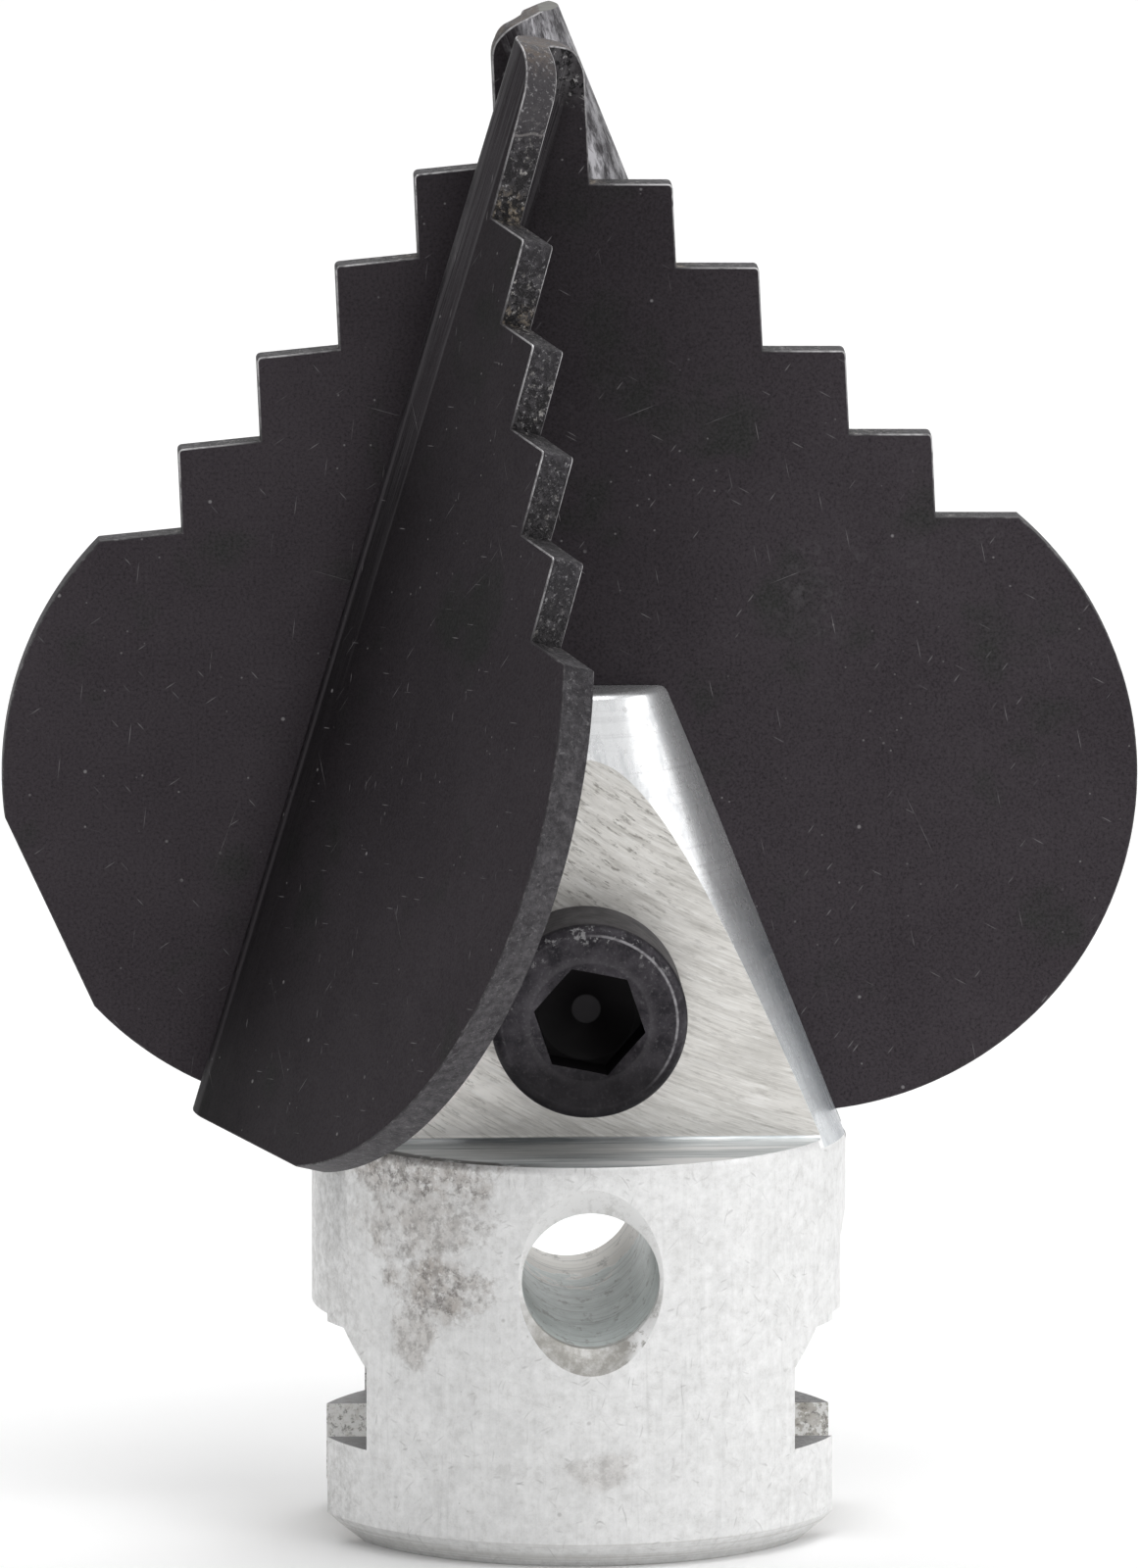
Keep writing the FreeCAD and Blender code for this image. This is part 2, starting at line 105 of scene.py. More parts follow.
class Field:
    """A value inside a node tree, on which arithmetic adds the matching nodes."""

    def __init__(self, graph: "Graph", socket: bpy.types.NodeSocket) -> None:
        """Keep the graph and the socket that gives the value."""
        self.graph, self.socket = graph, socket

    def __add__(self, other: "Field | float") -> "Field":
        """Add a value."""
        return self.graph.maths("ADD", self, other)

    def __sub__(self, other: "Field | float") -> "Field":
        """Subtract a value."""
        return self.graph.maths("SUBTRACT", self, other)

    def __rsub__(self, other: float) -> "Field":
        """Subtract the field from a number."""
        return self.graph.maths("SUBTRACT", other, self)

    def __mul__(self, other: "Field | float") -> "Field":
        """Multiply by a value."""
        return self.graph.maths("MULTIPLY", self, other)

    def __truediv__(self, other: "Field | float") -> "Field":
        """Divide by a value."""
        return self.graph.maths("DIVIDE", self, other)

    def __abs__(self) -> "Field":
        """Drop the sign."""
        return self.graph.maths("ABSOLUTE", self)


class Graph:
    """A node tree under construction."""

    def __init__(self, tree: bpy.types.NodeTree) -> None:
        """Keep the tree."""
        self.tree = tree

    def feed(self, target: bpy.types.NodeSocket, value: object) -> None:
        """Link a field to an input, or set a constant on it."""
        if isinstance(value, Field):
            self.tree.links.new(value.socket, target)
        elif isinstance(value, tuple) and len(value) == 3 and target.type == "RGBA":
            target.default_value = (*value, 1.0)
        else:
            target.default_value = value

    def node(self, kind: str, output: str | int = 0, settings: dict | None = None,
             **inputs: object) -> Field:
        """Add a node and return one of its outputs.

        Args:
            kind: Node type.
            output: Name or index of the output to return.
            settings: Attributes to set on the node.
            inputs: Input values or fields, with underscores for spaces, or i0, i1 for places.

        Returns:
            The chosen output.
        """
        made = self.tree.nodes.new(kind)
        for key, value in (settings or {}).items():
            setattr(made, key, value)
        for key, value in inputs.items():
            place = int(key[1:]) if key[0] == "i" and key[1:].isdigit() else key.replace("_", " ")
            self.feed(made.inputs[place], value)
        return Field(self, made.outputs[output])

    def maths(self, operation: str, first: object, second: object = 0.0, held: bool = False) -> Field:
        """Combine two values with one arithmetic operation, held between 0 and 1 if asked."""
        return self.node("ShaderNodeMath", 0, {"operation": operation, "use_clamp": held}, i0=first,
                         i1=second)


class Shader(Graph):
    """The node tree of one procedural material, on object coordinates or the piece's own pattern."""

    def __init__(self, name: str) -> None:
        """Create an empty material with an output and a Principled shader.

        Args:
            name: Name of the material.
        """
        self.material = bpy.data.materials.new(name)
        self.material.use_nodes = True
        super().__init__(self.material.node_tree)
        self.tree.nodes.clear()
        output = self.tree.nodes.new("ShaderNodeOutputMaterial")
        self.surface = self.tree.nodes.new("ShaderNodeBsdfPrincipled")
        self.tree.links.new(self.surface.outputs["BSDF"], output.inputs["Surface"])
        coordinates = self.tree.nodes.new("ShaderNodeTexCoord")
        self.colour: Field | Colour = (1.0, 1.0, 1.0)
        self.place = Field(self, coordinates.outputs["Object"])
        self.pattern = Field(self, coordinates.outputs["UV"])

    def mapped(self, scale: Triple = (1, 1, 1), turn: Triple = (0, 0, 0), shift: Triple = (0, 0, 0),
               source: Field | None = None) -> Field:
        """Turn, then scale and shift the coordinates of a pattern.

        Args:
            scale: Scale along each axis.
            turn: Turn about each axis in degrees.
            shift: Shift along each axis.
            source: Coordinates to map, object coordinates by default.

        Returns:
            The mapped coordinates.
        """
        turned = source or self.place
        if any(turn):
            turned = self.node("ShaderNodeMapping", Vector=turned,
                               Rotation=tuple(math.radians(angle) for angle in turn))
        return self.node("ShaderNodeMapping", Vector=turned, Location=shift, Scale=scale)

    def noise(self, scale: float, detail: float = 3.0, rough: float = 0.55, source: Field | None = None,
              distortion: float = 0.0, shift: Triple = (0, 0, 0)) -> Field:
        """Add a noise pattern, shifted if asked, and return its value."""
        if any(shift):
            source = self.mapped(shift=shift)
        return self.node("ShaderNodeTexNoise", "Fac", Vector=source or self.place, Scale=scale,
                         Detail=detail, Roughness=rough, Distortion=distortion)

    def cells(self, scale: float) -> Field:
        """Add a cell pattern and return the distance to the nearest cell point."""
        return self.node("ShaderNodeTexVoronoi", "Distance", Vector=self.place, Scale=scale)

    def mark(self, name: str) -> Field:
        """Read a value that the mesh stores at its points."""
        return self.node("ShaderNodeAttribute", "Fac", {"attribute_name": name})

    def span(self, source: Field) -> Field:
        """Return the length of a vector."""
        return self.node("ShaderNodeVectorMath", "Value", {"operation": "LENGTH"}, i0=source)

    def remap(self, value: Field, low: float, high: float, to_low: float = 0.0,
              to_high: float = 1.0) -> Field:
        """Map a value from one range to another, held at both ends."""
        return self.node("ShaderNodeMapRange", 0, {"clamp": True}, i0=value, i1=low, i2=high, i3=to_low,
                         i4=to_high)

    def zone(self, name: str, low_mm: float, high_mm: float, to_low: float = 0.0,
             to_high: float = 1.0) -> Field:
        """Map a coordinate between two places in millimetres, held at both ends."""
        return self.remap(self.axis(name), low_mm * MM, high_mm * MM, to_low, to_high)

    def blend(self, share: object, first: object, second: object) -> Field:
        """Mix two colours by a share between 0 and 1."""
        made = self.tree.nodes.new("ShaderNodeMix")
        made.data_type = "RGBA"
        made.clamp_factor = True
        colours = [socket for socket in made.inputs if socket.type == "RGBA"]
        for target, value in zip((made.inputs["Factor"], *colours), (share, first, second)):
            self.feed(target, value)
        return Field(self, next(socket for socket in made.outputs if socket.type == "RGBA"))

    def coat(self, share: object, tone: object) -> None:
        """Lay a tone over the colour so far, by a share between 0 and 1."""
        self.colour = self.blend(share, self.colour, tone)

    def axis(self, name: str, source: Field | None = None) -> Field:
        """Return one coordinate of a position."""
        return self.node("ShaderNodeSeparateXYZ", name, Vector=source or self.place)

    def strokes(self, plane: Field, length_mm: float, width_mm: float, turn: float, share: float,
                seed: float) -> Field:
        """Short straight scratches that taper at both ends, scattered over a plane.

        Args:
            plane: Flat coordinates of the surface in metres, X and Y.
            length_mm: Length of a scratch.
            width_mm: Width of a scratch.
            turn: Direction of the scratches in degrees.
            share: Share of the cells that hold a scratch.
            seed: Shift that makes this set of scratches its own.

        Returns:
            A mask that is 1 on a scratch.
        """
        turned = self.node("ShaderNodeMapping", Vector=plane, Rotation=(0.0, 0.0, math.radians(turn)))
        placed = self.node("ShaderNodeMapping", Vector=turned, Location=(seed, seed * 1.7, 0.0),
                           Scale=(STROKE_CELL / length_mm, STROKE_CELL / width_mm, 1.0))
        cell = self.node("ShaderNodeTexVoronoi", "Distance", {"voronoi_dimensions": "2D"}, Vector=placed,
                         Scale=1.0)
        draw = self.axis("X", Field(self, cell.socket.node.outputs["Color"]))
        return self.remap(cell, 0.16, 0.31, 1.0, 0.0) * self.remap(draw, 1.0 - share, 1.0 - share * 0.8)

    def most(self, *masks: Field) -> Field:
        """Return the greatest of several masks."""
        highest = masks[0]
        for mask in masks[1:]:
            highest = self.maths("MAXIMUM", highest, mask)
        return highest

    def relief(self, height: Field, depth_mm: float, strength: float = 1.0,
               under: Field | None = None) -> Field:
        """Turn a height pattern into a bumped normal.

        Args:
            height: Height pattern, 0 to 1.
            depth_mm: Depth of the pattern in millimetres.
            strength: Strength of the bump.
            under: Normal of a coarser relief below this one.

        Returns:
            The normal.
        """
        coarser = {} if under is None else {"Normal": under}
        return self.node("ShaderNodeBump", "Normal", None, Strength=strength, Distance=depth_mm * MM,
                         Height=height, **coarser)

    def finish(self, roughness: object, metallic: object, normal: Field | None = None,
               specular: float = 0.5) -> bpy.types.Material:
        """Connect the colour and the finished patterns to the shader.

        Args:
            roughness: Roughness.
            metallic: Metallic share.
            normal: Bumped normal, if any.
            specular: Specular level, set on the shader itself.

        Returns:
            The finished material.
        """
        given = {"Base Color": self.colour, "Roughness": roughness, "Metallic": metallic,
                 "Specular IOR Level": specular}
        if normal is not None:
            given["Normal"] = normal
        for name, value in given.items():
            self.feed(self.surface.inputs[name], value)
        return self.material


@dataclass(frozen=True)
class Finish:
    """A surface finish, from which a material can be painted."""

    def paint(self, sh: Shader) -> bpy.types.Material:
        """Lay the finish on a new shader and return its material."""
        raise NotImplementedError

    def material(self, name: str) -> bpy.types.Material:
        """Build a material of this finish."""
        return self.paint(Shader(name))


@dataclass(frozen=True)
class BlackOxide(Finish):
    """Black oxide on rolled sheet: violet black, fine grain, dust, faint scratches and a rubbed fold, with
    painted shade beside the fold and a painted highlight along its bend.
    """

    dark: Colour = (0.0365, 0.0305, 0.0354)
    light: Colour = (0.0465, 0.0395, 0.0452)
    green: Colour = (0.0285, 0.0300, 0.0280)
    scratch: Colour = (0.150, 0.142, 0.148)
    polished: Colour = (0.30, 0.295, 0.31)
    streak: Colour = (0.085, 0.08, 0.086)
    # Tone of the die line and of the painted highlight along the bend's arc.
    line: Colour = (0.085, 0.08, 0.085)
    dent: Colour = (0.34, 0.335, 0.34)
    pit: Colour = (0.003, 0.003, 0.003)
    spark: Colour = (0.36, 0.35, 0.35)
    grain: Colour = (0.066, 0.06, 0.066)
    pore: Colour = (0.01, 0.008, 0.01)
    smear: Colour = (0.095, 0.09, 0.095)
    # Black laid over the sheet as painted shade beside the fold.
    shade: Colour = (0.0, 0.0, 0.0)
    dust: Colour = (0.24, 0.23, 0.235)
    roughness: float = 0.47
    fold_shade: float = 0.62
    polish: float = 0.2
    bend_arc_mm: float = 5.36
    die_mark_mm: float = 1.35
    # Across the bend from its start: the painted shadow line lies here, the painted highlight 0.55 mm
    # further on.
    turn_mm: float = 4.45
    dots: Table = ((620.0, 0.075, 0.54, 0.75, 2.0), (1250.0, 0.09, 0.51, 0.55, 5.0))
    strokes: Table = (
        (4.5, 0.035, 48.0, 0.0008, 4.0), (2.6, 0.04, -38.0, 0.0016, 9.0), (1.3, 0.05, 62.0, 0.0045, 13.0),
        (0.8, 0.06, 12.0, 0.006, 17.0), (0.6, 0.07, -70.0, 0.006, 23.0),
    )

    def _fold_marks(self, sh: Shader) -> Field:
        """Add the die line, the painted highlight along the bend's arc, the streaked band beside the die
        line and the fold that is rubbed bright near the tip.

        Args:
            sh: The shader under construction.

        Returns:
            The mask of bare rubbed metal.
        """
        across, along = sh.axis("X", sh.pattern), sh.axis("Y", sh.pattern)
        mark_at = -(self.bend_arc_mm + self.die_mark_mm) / PATTERN_MM
        outer = sh.mark("outer")
        inner = 1.0 - outer
        offset = abs(across - mark_at)
        die_line = sh.remap(offset, 0.0004, 0.0013, 0.55, 0.0) * sh.remap(along, -0.36, -0.1)
        # Painted highlight: a thin light line along the bend's arc on the outer side, fading lower down.
        off_arc_highlight = abs(across + (self.turn_mm + 0.55) / PATTERN_MM)
        arc_highlight = sh.remap(off_arc_highlight, 0.0008, 0.0021, 1.0, 0.0) * outer
        arc_highlight = arc_highlight * sh.remap(along, -0.6, -0.2, 0.18, 0.42)
        streaks = sh.noise(1.0, 3.0, 0.65, sh.mapped((1100.0, 16.0, 1.0), source=sh.pattern))
        band = (sh.remap(across, mark_at - 0.0006, mark_at + 0.0006)
                * sh.remap(across, -0.004, 0.0, 1.0, 0.0))
        high = sh.remap(along, -0.34, -0.06, 0.10, 1.0)
        rubbed = band * high * sh.remap(streaks, 0.4, 0.68)
        sh.coat(rubbed * 0.75, self.streak)
        # Die line and painted highlight line.
        sh.coat(sh.most(die_line, arc_highlight), self.line)
        ragged = (sh.noise(500.0, 4.0, 0.7) - 0.5) * 0.06
        over, down = across + ragged, along + ragged
        worn = sh.remap(sh.noise(1.0, 5.0, 0.75, sh.mapped((1700.0, 1700.0, 420.0))), 0.42, 0.6, 0.1, 1.0)
        on_fold = sh.remap(over, -0.05, -0.034) * sh.remap(over, -0.014, -0.002, 1.0, 0.0)
        reach = sh.remap(down, -0.155, -0.110, 0.0, self.polish)
        bare = on_fold * reach * (worn * outer)
        sh.coat(bare, self.polished)
        self._battered_tip(sh, sh.remap(along, -0.03, -0.018) * inner)
        return bare

    def _fold_shade(self, sh: Shader) -> Field:
        """Return the share of painted shade beside the fold, deepest where its outer side turns away."""
        across, along = sh.axis("X", sh.pattern), sh.axis("Y", sh.pattern)
        outer = sh.mark("outer")
        off_bend = abs(across + self.bend_arc_mm / 2 / PATTERN_MM)
        # Painted shade over the bend's arc.
        bend = sh.remap(off_bend, 0.025, 0.045, self.fold_shade, 0.0)
        # Painted shade on the folded wing, deepest next to the bend.
        wing = sh.remap(across, -0.25, -0.06, 0.15, 0.5) * sh.remap(across, -0.06, -0.05, 1.0, 0.0)
        # Painted shade on the side wing close to the fold.
        side = sh.remap(across, -0.01, 0.0) * sh.remap(across, 0.0, 0.17, 0.45, 0.0)
        # Painted shade past the bend on the outer side, weaker near the top.
        past = sh.remap(across, -0.052, -0.05, 1.0, 0.0) * sh.remap(across, -0.2, -0.055, 0.0, 0.8)
        past = past * sh.remap(along, -0.24, -0.12, 1.0, 0.4)
        # Painted shadow line where the bend's outer side turns out of view, broken by noise.
        off_crease_shadow = abs(across + self.turn_mm / PATTERN_MM)
        crease_shadow = (sh.remap(off_crease_shadow, 0.0015, 0.003, 0.93, 0.0)
                  * sh.remap(sh.noise(2600.0, 3.0, 0.7), 0.36, 0.52, 0.5, 1.0))
        return sh.most(bend, wing, side, sh.most(past, crease_shadow) * outer)

    def _battered_tip(self, sh: Shader, near: Field) -> None:
        """Add black pits and bright dents where the mask of the inner face beside the tip allows them."""
        dents = sh.noise(1350.0, 4.0, 0.75, shift=(1.0, 6.0, 2.0))
        shine = sh.remap(dents, 0.36, 0.62, 0.1, 0.6) * self.polish
        sh.coat(near * shine, self.dent)
        pits = sh.remap(sh.noise(1900.0, 4.0, 0.75, shift=(3.0, 1.0, 9.0)), 0.50, 0.56)
        sh.coat(near * (pits * 0.85), self.pit)
        sparks = sh.remap(sh.noise(2600.0, 3.0, 0.7), 0.60, 0.67, 0.0, 0.8)
        sh.coat(near * sparks, self.spark)

    def paint(self, sh: Shader) -> bpy.types.Material:
        """Paint the sheet-face finish."""
        clouds = sh.remap(sh.noise(110.0, 5.0, 0.65), 0.36, 0.66)
        sh.colour = sh.blend(clouds, self.dark, self.light)
        mould = sh.noise(150.0, 3.0, 0.6, shift=(3.1, 0.4, 1.7))
        sh.coat(sh.remap(mould, 0.58, 0.7, 0.0, 0.8), self.green)
        grain = sh.noise(6200.0, 3.0, 0.75)
        sh.coat(sh.remap(grain, 0.48, 0.74, 0.0, 0.5), self.grain)
        sh.coat(sh.remap(grain, 0.5, 0.28, 0.0, 0.6), self.pore)
        smear = (sh.remap(sh.noise(75.0, 3.0, 0.6, shift=(6.0, 2.0, 3.0)), 0.6, 0.72)
                 * sh.remap(sh.noise(2100.0, 3.0, 0.7), 0.5, 0.66))
        sh.coat(smear * 0.55, self.smear)
        # Painted shade beside the fold.
        sh.coat(self._fold_shade(sh), self.shade)
        bare = self._fold_marks(sh)
        for spacing, size, level, strength, seed in self.dots:
            share = sh.remap(sh.noise(240.0, 1.0, 0.5, shift=(1.0, 5.0, seed)), level, level + 0.05)
            spot = sh.remap(sh.cells(spacing), size * 0.5, size, 1.0, 0.0)
            sh.coat(spot * share * strength, self.dust)
        sheet = sh.mapped((0.1, 0.1, 0.1), source=sh.pattern)
        marks = sh.most(*(sh.strokes(sheet, *stroke) for stroke in self.strokes))
        faded = sh.remap(sh.noise(900.0, 3.0, 0.6, shift=(8.0, 1.0, 4.0)), 0.4, 0.6, 0.18, 0.95)
        sh.coat(marks * faded, self.scratch)
        rough = sh.remap(sh.noise(420.0, 3.0, 0.6), 0.3, 0.7, self.roughness - 0.05, self.roughness + 0.07)
        rough = rough - bare * 0.2
        coarse = sh.relief(sh.noise(700.0, 3.0, 0.5), 0.03, 0.30)
        normal = sh.relief(grain, 0.012, 0.45, coarse)
        return sh.finish(rough, bare * 0.85, normal, 0.07)


@dataclass(frozen=True)
class ShearedEdge(Finish):
    """Punched edge of the sheet: grainy dark grey, pitted and crumbed higher up, paler at the nose, with
    painted shade in the tooth roots.
    """

    base: Colour = (0.039, 0.036, 0.040)
    mottle: Colour = (0.098, 0.093, 0.099)
    nose: Colour = (0.050, 0.046, 0.050)
    brown: Colour = (0.110, 0.086, 0.068)
    crumb: Colour = (0.36, 0.345, 0.33)
    pit: Colour = (0.005, 0.004, 0.005)
    upper: Colour = (0.014, 0.012, 0.016)
    # Painted shade in the tooth roots.
    root: Colour = (0.02, 0.018, 0.017)
    fleck: Colour = (0.26, 0.255, 0.26)
    clod: Colour = (0.215, 0.18, 0.14)
    step: Colour = (0.24, 0.225, 0.22)
    torn_from_mm: float = 24.0
    torn_full_mm: float = 60.0
    step_at_mm: float = 72.9

    def paint(self, sh: Shader) -> bpy.types.Material:
        """Paint the sheared-edge finish."""
        height = sh.axis("Z")
        notch = sh.mark("notch")
        torn = sh.remap(height, self.torn_from_mm * MM, self.torn_full_mm * MM)
        torn = torn * sh.remap(notch, 0.0, 0.8, 0.5, 1.0)
        tip = sh.remap(height, 71.6 * MM, 73.6 * MM)
        blotch = sh.noise(2100.0, 4.0, 0.75)
        sh.colour = sh.blend(sh.remap(blotch, 0.4, 0.66), self.base, self.mottle)
        sh.coat(sh.remap(height, 42.0 * MM, 50.0 * MM, 0.0, 0.5), self.upper)
        sh.coat(tip * sh.remap(blotch, 0.32, 0.56, 0.35, 1.0), self.nose)
        rust = sh.remap(height, 75.4 * MM, 76.6 * MM) * sh.remap(blotch, 0.4, 0.6, 0.0, 0.75)
        sh.coat(rust, self.brown)
        # Painted shade in the tooth roots.
        sh.coat(sh.remap(notch, 0.2, 1.0, 0.0, 0.45), self.root)
        flecks = (sh.remap(sh.noise(4600.0, 3.0, 0.75), 0.58, 0.66, 0.0, 0.8)
                  * sh.remap(height, 44.0 * MM, 56.0 * MM, 0.4, 1.0))
        sh.coat(flecks, self.fleck)
        first_root = sh.remap(notch, 0.7, 0.92) * sh.remap(height, 63.0 * MM, 64.0 * MM)
        clods = sh.noise(2300.0, 4.0, 0.75, shift=(9.0, 4.0, 2.0))
        sh.coat(first_root * sh.remap(clods, 0.48, 0.55, 0.0, 0.85), self.clod)
        crumbs = (sh.remap(sh.noise(2600.0, 2.0, 0.6, shift=(5.0, 3.0, 1.0)), 0.6, 0.66)
                  * sh.remap(torn, 0.5, 1.0, 0.0, 0.8))
        sh.coat(crumbs, self.crumb)
        pit_field = sh.noise(2300.0, 4.0, 0.78, shift=(2.0, 1.0, 7.0))
        open_pits = sh.remap(pit_field, 0.48, 0.54) * torn
        pits = open_pits * sh.remap(tip, 0.0, 1.0, 0.9, 0.12)
        sh.coat(pits, self.pit)
        off_step = sh.noise(700.0, 2.0, 0.6) * (0.5 * MM) + -self.step_at_mm * MM
        off_step = abs(height + off_step)
        sh.coat(sh.remap(off_step, 0.02 * MM, 0.11 * MM, 0.55, 0.0), self.step)
        rough = sh.remap(blotch, 0.3, 0.7, 0.46, 0.62)
        deep = sh.relief(sh.noise(1700.0, 3.0, 0.75) - pits, 0.11, 0.9)
        normal = sh.relief(sh.noise(4600.0, 3.0, 0.75), 0.03, 0.8, deep)
        return sh.finish(rough, 0.3, normal, 0.3)


@dataclass(frozen=True)
class WornCorner(Finish):
    """Corner between a sheet face and its punched edge, carrying a broken painted highlight, rubbed bright
    on the tooth corners and the tip, which is partly rubbed metal and partly painted highlight.
    """

    # Rubbed metal at the tooth corners and the tip, partly painted highlight.
    bright: Colour = (0.60, 0.59, 0.60)
    # Painted highlight along every corner.
    grey: Colour = (0.120, 0.114, 0.119)
    dark: Colour = (0.038, 0.035, 0.038)

    def paint(self, sh: Shader) -> bpy.types.Material:
        """Paint the worn-corner finish."""
        # Noise that breaks up the painted highlight along the corners.
        wear = sh.remap(sh.noise(1500.0, 5.0, 0.75), 0.50, 0.62)
        at_tooth = sh.mark("wear")
        sh.colour = sh.blend(wear, self.dark, self.grey)
        # Rubbed metal at the tooth corners and the tip, brightened as painted highlight too.
        rubbed = at_tooth * sh.remap(sh.noise(1300.0, 4.0, 0.75), 0.36, 0.54, 0.18, 1.0)
        sh.coat(rubbed, self.bright)
        normal = sh.relief(sh.noise(2600.0, 2.0, 0.6), 0.02, 0.5)
        return sh.finish(sh.remap(rubbed, 0.0, 1.0, 0.5, 0.36), sh.remap(rubbed, 0.0, 1.0, 0.25, 0.75),
                         normal, 0.3)


@dataclass(frozen=True)
class GroundSteel(Finish):
    """Freshly ground steel with one direction of grinding lines."""

    base: Colour = (0.115, 0.115, 0.100)
    dark: Colour = (0.050, 0.050, 0.044)
    line: Colour = (0.2, 0.195, 0.18)

    def paint(self, sh: Shader) -> bpy.types.Material:
        """Paint the ground-steel finish."""
        lines = sh.noise(1.0, 3.0, 0.6, sh.mapped((300.0, 3800.0, 3800.0)))
        patches = sh.remap(sh.noise(420.0, 3.0, 0.6), 0.35, 0.65)
        sh.colour = sh.blend(patches, self.dark, self.base)
        sh.coat(sh.remap(lines, 0.45, 0.65, 0.0, 0.5), self.line)
        return sh.finish(0.5, 0.4, sh.relief(lines, 0.02, 0.6))


@dataclass(frozen=True)
class ZincPlate(Finish):
    """Bright zinc plating: faint clouds, scribbled hairlines, specks, one coarse dark-grained patch and
    painted shade at the far left edge.
    """

    pale: Colour = (0.825, 0.825, 0.822)
    cloud: Colour = (0.725, 0.725, 0.722)
    grain: Colour = (0.195, 0.180, 0.172)
    tint: Colour = (0.47, 0.435, 0.405)
    spark: Colour = (0.88, 0.88, 0.87)
    mottle: Colour = (0.58, 0.575, 0.565)
    light: Colour = (0.92, 0.92, 0.92)
    stain: Colour = (0.6, 0.595, 0.58)
    brush_dark: Colour = (0.53, 0.53, 0.525)
    brush_light: Colour = (0.9, 0.9, 0.9)
    # Grey for the painted shade at the barrel's far left edge.
    left: Colour = (0.5, 0.495, 0.485)
    speck: Colour = (0.36, 0.35, 0.34)
    hairline: Colour = (0.3, 0.295, 0.29)
    foot: Colour = (0.5, 0.49, 0.46)
    roughness: float = 0.44
    metallic: float = 0.45
    ring_depth_mm: float = 0.006
    patches_mm: Table = (
        (-8.8, 20.1, 3.9, 1.4, 1.0), (-8.2, 17.6, 3.0, 2.2, 0.62), (-7.7, 14.3, 2.1, 1.6, 0.95),
        (-8.9, 11.8, 0.9, 1.5, 0.55), (0.2, 5.2, 1.7, 0.8, 0.32),
    )
    barrel_radius_mm: float = 13.65
    specks: Table = ((430.0, 6.0, 0.5), (1000.0, 2.5, 0.45))
    strokes: Table = (
        (1.2, 0.10, 55.0, 0.020, 3.0), (0.8, 0.10, 100.0, 0.045, 8.0), (1.0, 0.11, 140.0, 0.030, 12.0),
        (0.6, 0.12, 20.0, 0.045, 19.0), (1.7, 0.08, 80.0, 0.008, 27.0), (0.5, 0.14, 160.0, 0.035, 33.0),
    )

    def _unrolled(self, sh: Shader) -> Field:
        """Return flat coordinates of the barrel's skin: round the axis and up it."""
        round_it = sh.maths("ARCTAN2", sh.axis("X"), sh.axis("Y") * -1.0) * (self.barrel_radius_mm * MM)
        return sh.node("ShaderNodeCombineXYZ", 0, None, X=round_it, Y=sh.axis("Z"), Z=0.0)

    def _mottled_patch(self, sh: Shader) -> None:
        """Add the patches of dark crystals on the left of the barrel."""
        ragged = (sh.noise(620.0, 5.0, 0.72) - 0.5) * 2.6
        front = sh.zone("Y", -2.0, -5.0)
        shares = []
        for across, height, wide, tall, strength in self.patches_mm:
            offset = sh.mapped((1000.0 / wide, 0.0, 1000.0 / tall),
                               shift=(-across / wide, 0.0, -height / tall))
            reach = sh.span(offset)
            shares.append(sh.remap(reach + ragged, 0.75, 1.25, strength, 0.0))
        patch = sh.most(*shares) * front
        tint = patch * sh.remap(sh.noise(700.0, 4.0, 0.65), 0.36, 0.6, 0.25, 0.95)
        sh.coat(tint, self.tint)
        clots = sh.remap(sh.noise(950.0, 4.0, 0.7, shift=(7.0, 7.0, 3.0)), 0.5, 0.64) * patch
        sh.coat(clots * 0.55, self.grain)
        crystals = sh.remap(sh.noise(2000.0, 5.0, 0.75), 0.48, 0.62) * patch
        sh.coat(crystals * 0.84, self.grain)
        sparks = sh.noise(2900.0, 3.0, 0.7, shift=(1.0, 2.0, 3.0))
        sh.coat(sh.remap(sparks, 0.56, 0.64, 0.0, 0.6) * patch, self.spark)

    def paint(self, sh: Shader) -> bpy.types.Material:
        """Paint the barrel finish."""
        clouds = sh.remap(sh.noise(520.0, 7.0, 0.78), 0.36, 0.66)
        sh.colour = sh.blend(clouds, self.pale, self.cloud)
        mottle = sh.noise(1900.0, 4.0, 0.75, shift=(5.0, 5.0, 1.0))
        sh.coat(sh.remap(mottle, 0.52, 0.66, 0.0, 0.5), self.mottle)
        sh.coat(sh.remap(mottle, 0.48, 0.34, 0.0, 0.5), self.light)
        stains = sh.remap(sh.noise(150.0, 4.0, 0.65, shift=(0.2, 0.9, 0.4)), 0.58, 0.74, 0.0, 0.3)
        sh.coat(stains, self.stain)
        brushed = sh.noise(1.0, 3.0, 0.7, sh.mapped((2600.0, 2600.0, 160.0)))
        sh.coat(sh.remap(brushed, 0.56, 0.76, 0.0, 0.35), self.brush_dark)
        sh.coat(sh.remap(brushed, 0.44, 0.26, 0.0, 0.4), self.brush_light)
